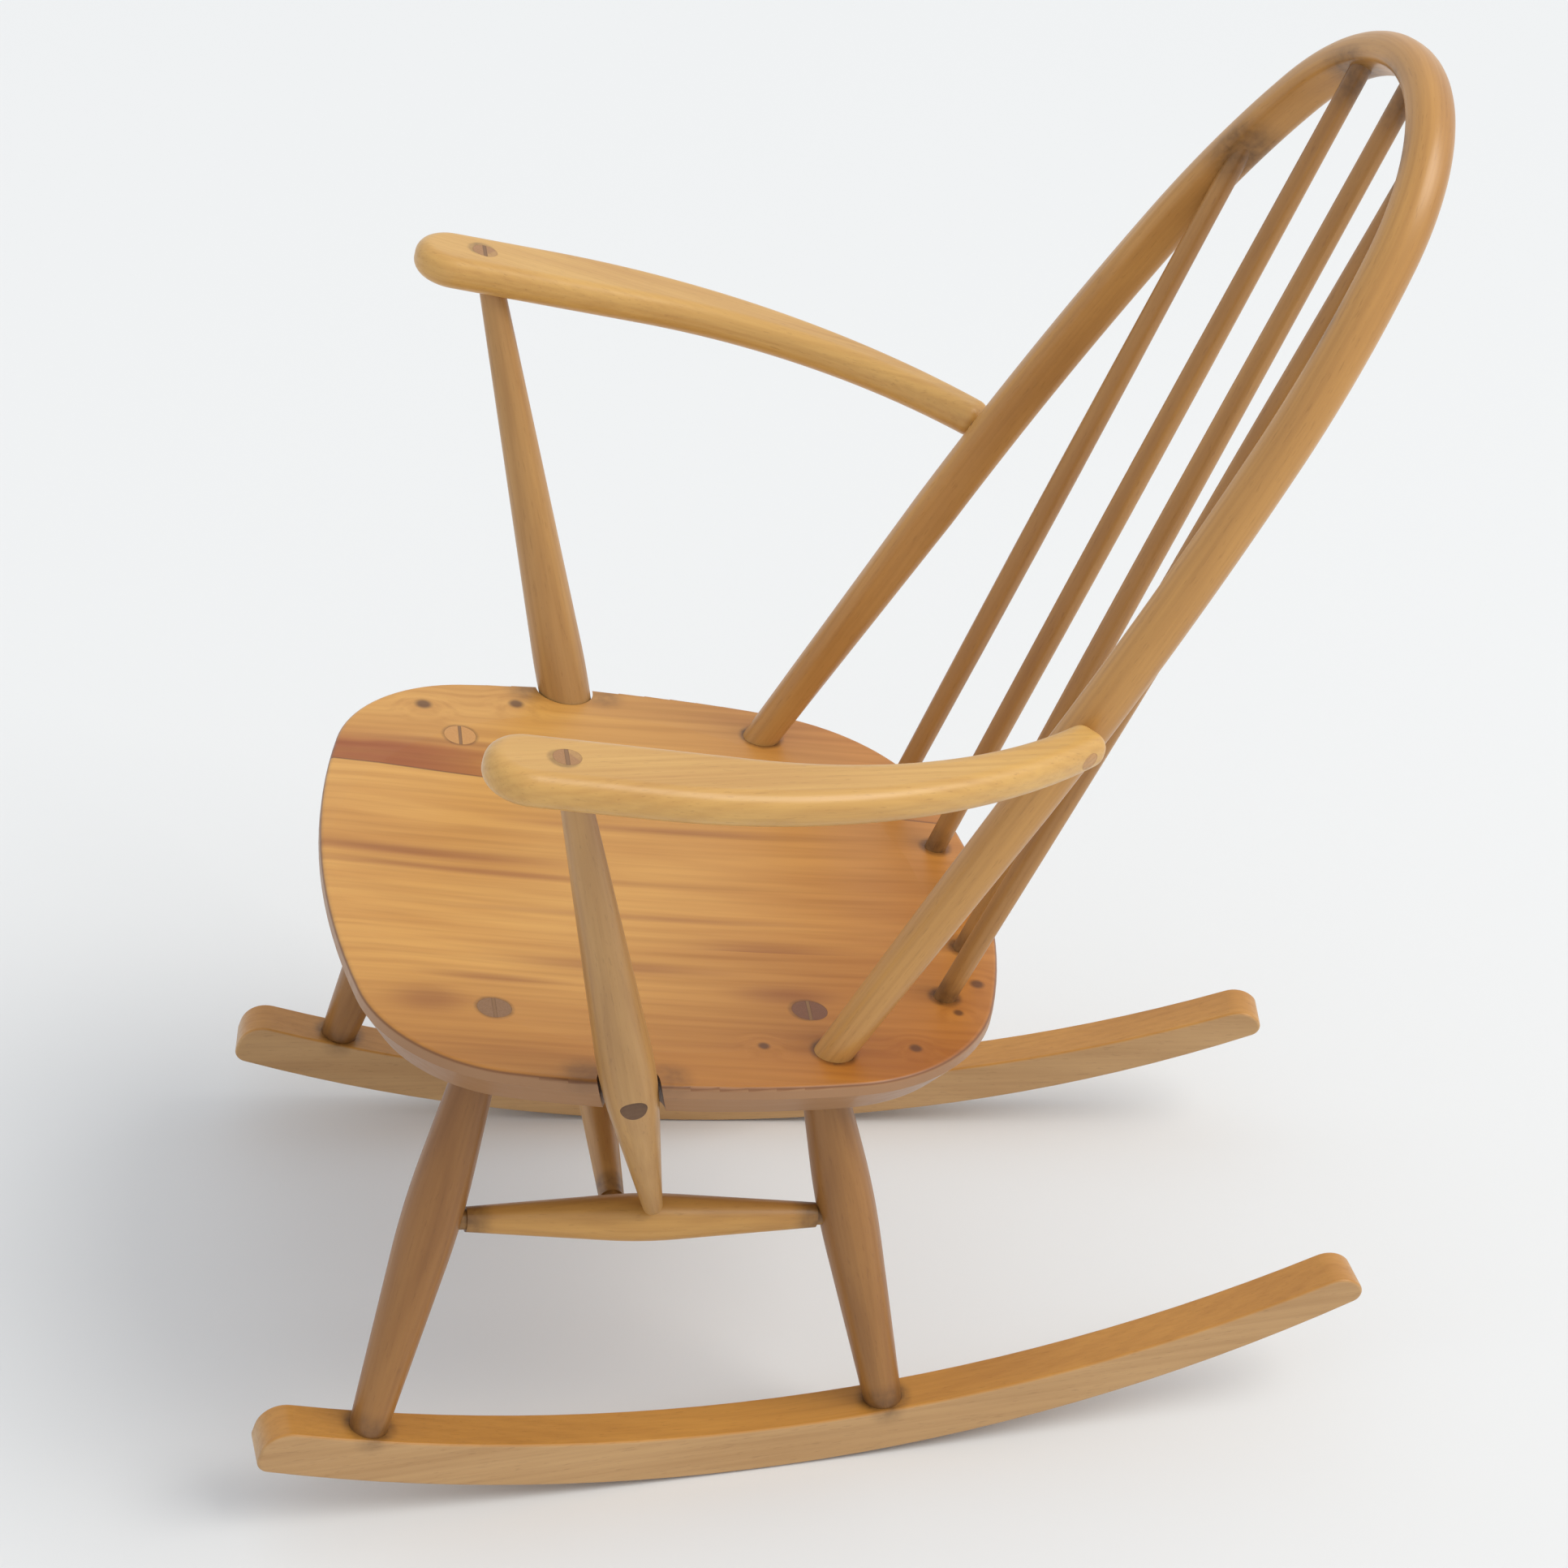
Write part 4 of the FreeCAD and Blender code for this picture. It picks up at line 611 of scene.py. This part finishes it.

# %% [markdown]
# Arms and rockers are sawn from planks to their curve, so their fibres run straight through and the
# rings make long arches on the broad faces. The arms are the brightest wood on the chair. The rockers
# are tinted golden where they face up, and have paler pinkish sides.

# %% Arms and rockers
for number, node in enumerate(("arm_left", "arm_right")):
    fibre = fibres[node]
    post_head = fibres["arm_post_" + node[4:]]
    head = post_head["centre"] + post_head["along"] * post_head["high"]
    marks = [(head, 0.0078, 0.0105, 0.45)]
    dress(node, beech("beech_sawn_arm_" + node, fibre, "D4A75E", "BC8A48",
                      (0.02, 0.12 * number, 0.1), marks,
                      heart=(0.02, 0.055), spacing=0.0062, gloss=0.30))
for number, node in enumerate(("rocker_left", "rocker_right")):
    fibre = fibres[node]
    own_feet = [foot for foot in foot_places if (foot.x > 0) == (node == "rocker_left")]
    # Dust and painted shade where the legs enter the rocker
    marks = [(foot, 0.0105, 0.020, 0.7) for foot in own_feet]
    dress(node, beech("beech_sawn_rocker_" + node, fibre, "C49C6A", "AB8151",
                      (0.03, 0.2 * number, 0.4), marks,
                      heart=(0.03, 0.06), spacing=0.0070, gloss=0.36, top="FCDC7C"))
print("feet that meet the rockers:", len(foot_places))

# %% [markdown]
# Wedges and plugs show the ends of their fibres, which drink in polish. The wedges are dark, the post
# plugs darker still with painted shade of the recess they sit sunk in, and the arm plugs close to the
# arms' colour. The screws lie hidden under the plugs.

# %% Wedges, plugs and screws
for node in ("leg_wedges", "post_wedges"):
    dress(node, beech("hardwood_wedge_" + node, fibres[node], "8E6842", "74502E", (0.3, 0, 0),
                      gloss=0.42))
# The post plugs' dark colours are end grain and painted shade of their recess
for node, pale, deep in (("post_plugs", "6E4E32", "543A24"), ("arm_plugs", "C2915A", "A67A46")):
    dress(node, beech("beech_plug_cut_across_" + node, fibres[node], pale, deep, (0.4, 0, 0),
                      spacing=0.003, gloss=0.42))
steel = bpy.data.materials.new("steel_turned_screw_zinc_plated")
steel.use_nodes = True
tree = steel.node_tree
tree.nodes.clear()
lathe = add(tree, "TexNoise", (), {
    "Vector": add(tree, "TexCoord").outputs["Object"], "Scale": 900.0, "Detail": 2.0}).outputs["Fac"]
rough = add(tree, "MapRange", (), {"Value": lathe, "To Min": 0.25, "To Max": 0.45}).outputs[0]
shader = add(tree, "BsdfPrincipled", (), {
    "Base Color": hex_colour("B8B9BC"), "Metallic": 1.0, "Roughness": rough})
tree.links.new(shader.outputs[0], add(tree, "OutputMaterial").inputs["Surface"])
for node in ("post_screws", "arm_screws"):
    dress(node, steel)
undressed = [n for n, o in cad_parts.items() if not o.data.materials]
print("nodes without a material:", undressed)

# %% [markdown]
# The photograph was taken in a pale room with daylight from the upper right. A plain pale floor, a wide
# soft sun from behind the chair, a broad lamp there for the sheen on the lacquer, and an even sky give
# a soft picture like it. The sun lights the whole floor evenly, which a lamp doesn't.

# %% Floor, light and sky
FLOOR_REACH = 9.0
FLOOR_LEVEL = -0.0005              # just below the rockers, so that the surfaces don't coincide
SKY_STRENGTH = 0.92
SUN_STRENGTH = 1.3
SUN_SPREAD = math.radians(38)      # as wide as a window close by
SUN_DIRECTION = Vector((-0.35, -1.0, -1.25))
SHEEN_PLACE = Vector((0.5, 2.2, 2.2))
SHEEN_AIM = Vector((0.0, 0.1, 0.5))
SHEEN_SIZE = 1.3
SHEEN_POWER = 8
floor_mesh = bpy.data.meshes.new("pale_floor")
corners = [(-1, -1), (1, -1), (1, 1), (-1, 1)]
floor_mesh.from_pydata([(x * FLOOR_REACH, y * FLOOR_REACH, FLOOR_LEVEL) for x, y in corners],
                       [], [(0, 1, 2, 3)])
floor = bpy.data.objects.new("pale_floor", floor_mesh)
bpy.context.scene.collection.objects.link(floor)
paint = bpy.data.materials.new("matt_painted_floor")
paint.use_nodes = True
paint_shader = paint.node_tree.nodes["Principled BSDF"]
paint_shader.inputs["Base Color"].default_value = hex_colour("E4E5E5")
paint_shader.inputs["Roughness"].default_value = 0.7
floor_mesh.materials.append(paint)

sky = bpy.data.worlds.new("even_sky")
sky.use_nodes = True
backdrop = sky.node_tree.nodes["Background"]
backdrop.inputs["Color"].default_value = hex_colour("EEF1F5")
backdrop.inputs["Strength"].default_value = SKY_STRENGTH
bpy.context.scene.world = sky


def hang_light(name, kind, tint, power, direction, place=(0, 0, 0)):
    """Hangs a light that shines in this direction, and returns its data."""
    data = bpy.data.lights.new(name, kind)
    data.energy = power
    data.color = hex_colour(tint)[:3]
    lamp = bpy.data.objects.new(name, data)
    lamp.location = place
    lamp.rotation_euler = direction.to_track_quat("-Z", "Y").to_euler()
    bpy.context.scene.collection.objects.link(lamp)
    return data


window = hang_light("window_light", "SUN", "FFFBF4", SUN_STRENGTH, SUN_DIRECTION)
window.angle = SUN_SPREAD
sheen = hang_light("window_sheen", "AREA", "FFFAF2", SHEEN_POWER, SHEEN_AIM - SHEEN_PLACE, SHEEN_PLACE)
sheen.size = SHEEN_SIZE

# %% [markdown]
# The camera stands to the sitter's left, well above the chair and a little in front of its middle. Its
# place, aim, roll and lens come from matching the chair's own points to the photograph.

# %% Camera
CAMERA_PLACE = Vector((2.3034, -0.3527, 1.8795))
CAMERA_AIM = Vector((0.0, -0.0115, 0.3847))
CAMERA_ROLL = 0.036                # radians, clockwise as the camera sees it
PHOTO_WIDTH = 1932
FOCAL_PIXELS = 5499.5              # focal length in pixels of the photograph
SENSOR = 36.0                      # width in millimetres
lens = bpy.data.cameras.new("photographer")
lens.sensor_width = SENSOR
lens.lens = FOCAL_PIXELS / PHOTO_WIDTH * SENSOR
camera = bpy.data.objects.new("photographer", lens)
looking = (CAMERA_AIM - CAMERA_PLACE).normalized()
right = looking.cross(Vector((0, 0, 1))).normalized()
above = right.cross(looking)
right, above = (right * math.cos(CAMERA_ROLL) + above * math.sin(CAMERA_ROLL),
                above * math.cos(CAMERA_ROLL) - right * math.sin(CAMERA_ROLL))
turned = Matrix((right, above, -looking)).transposed().to_4x4()
turned.translation = CAMERA_PLACE
camera.matrix_world = turned
bpy.context.scene.collection.objects.link(camera)
bpy.context.scene.camera = camera
bpy.context.scene.view_settings.view_transform = "Standard"
print("lens in millimetres:", round(lens.lens, 1))
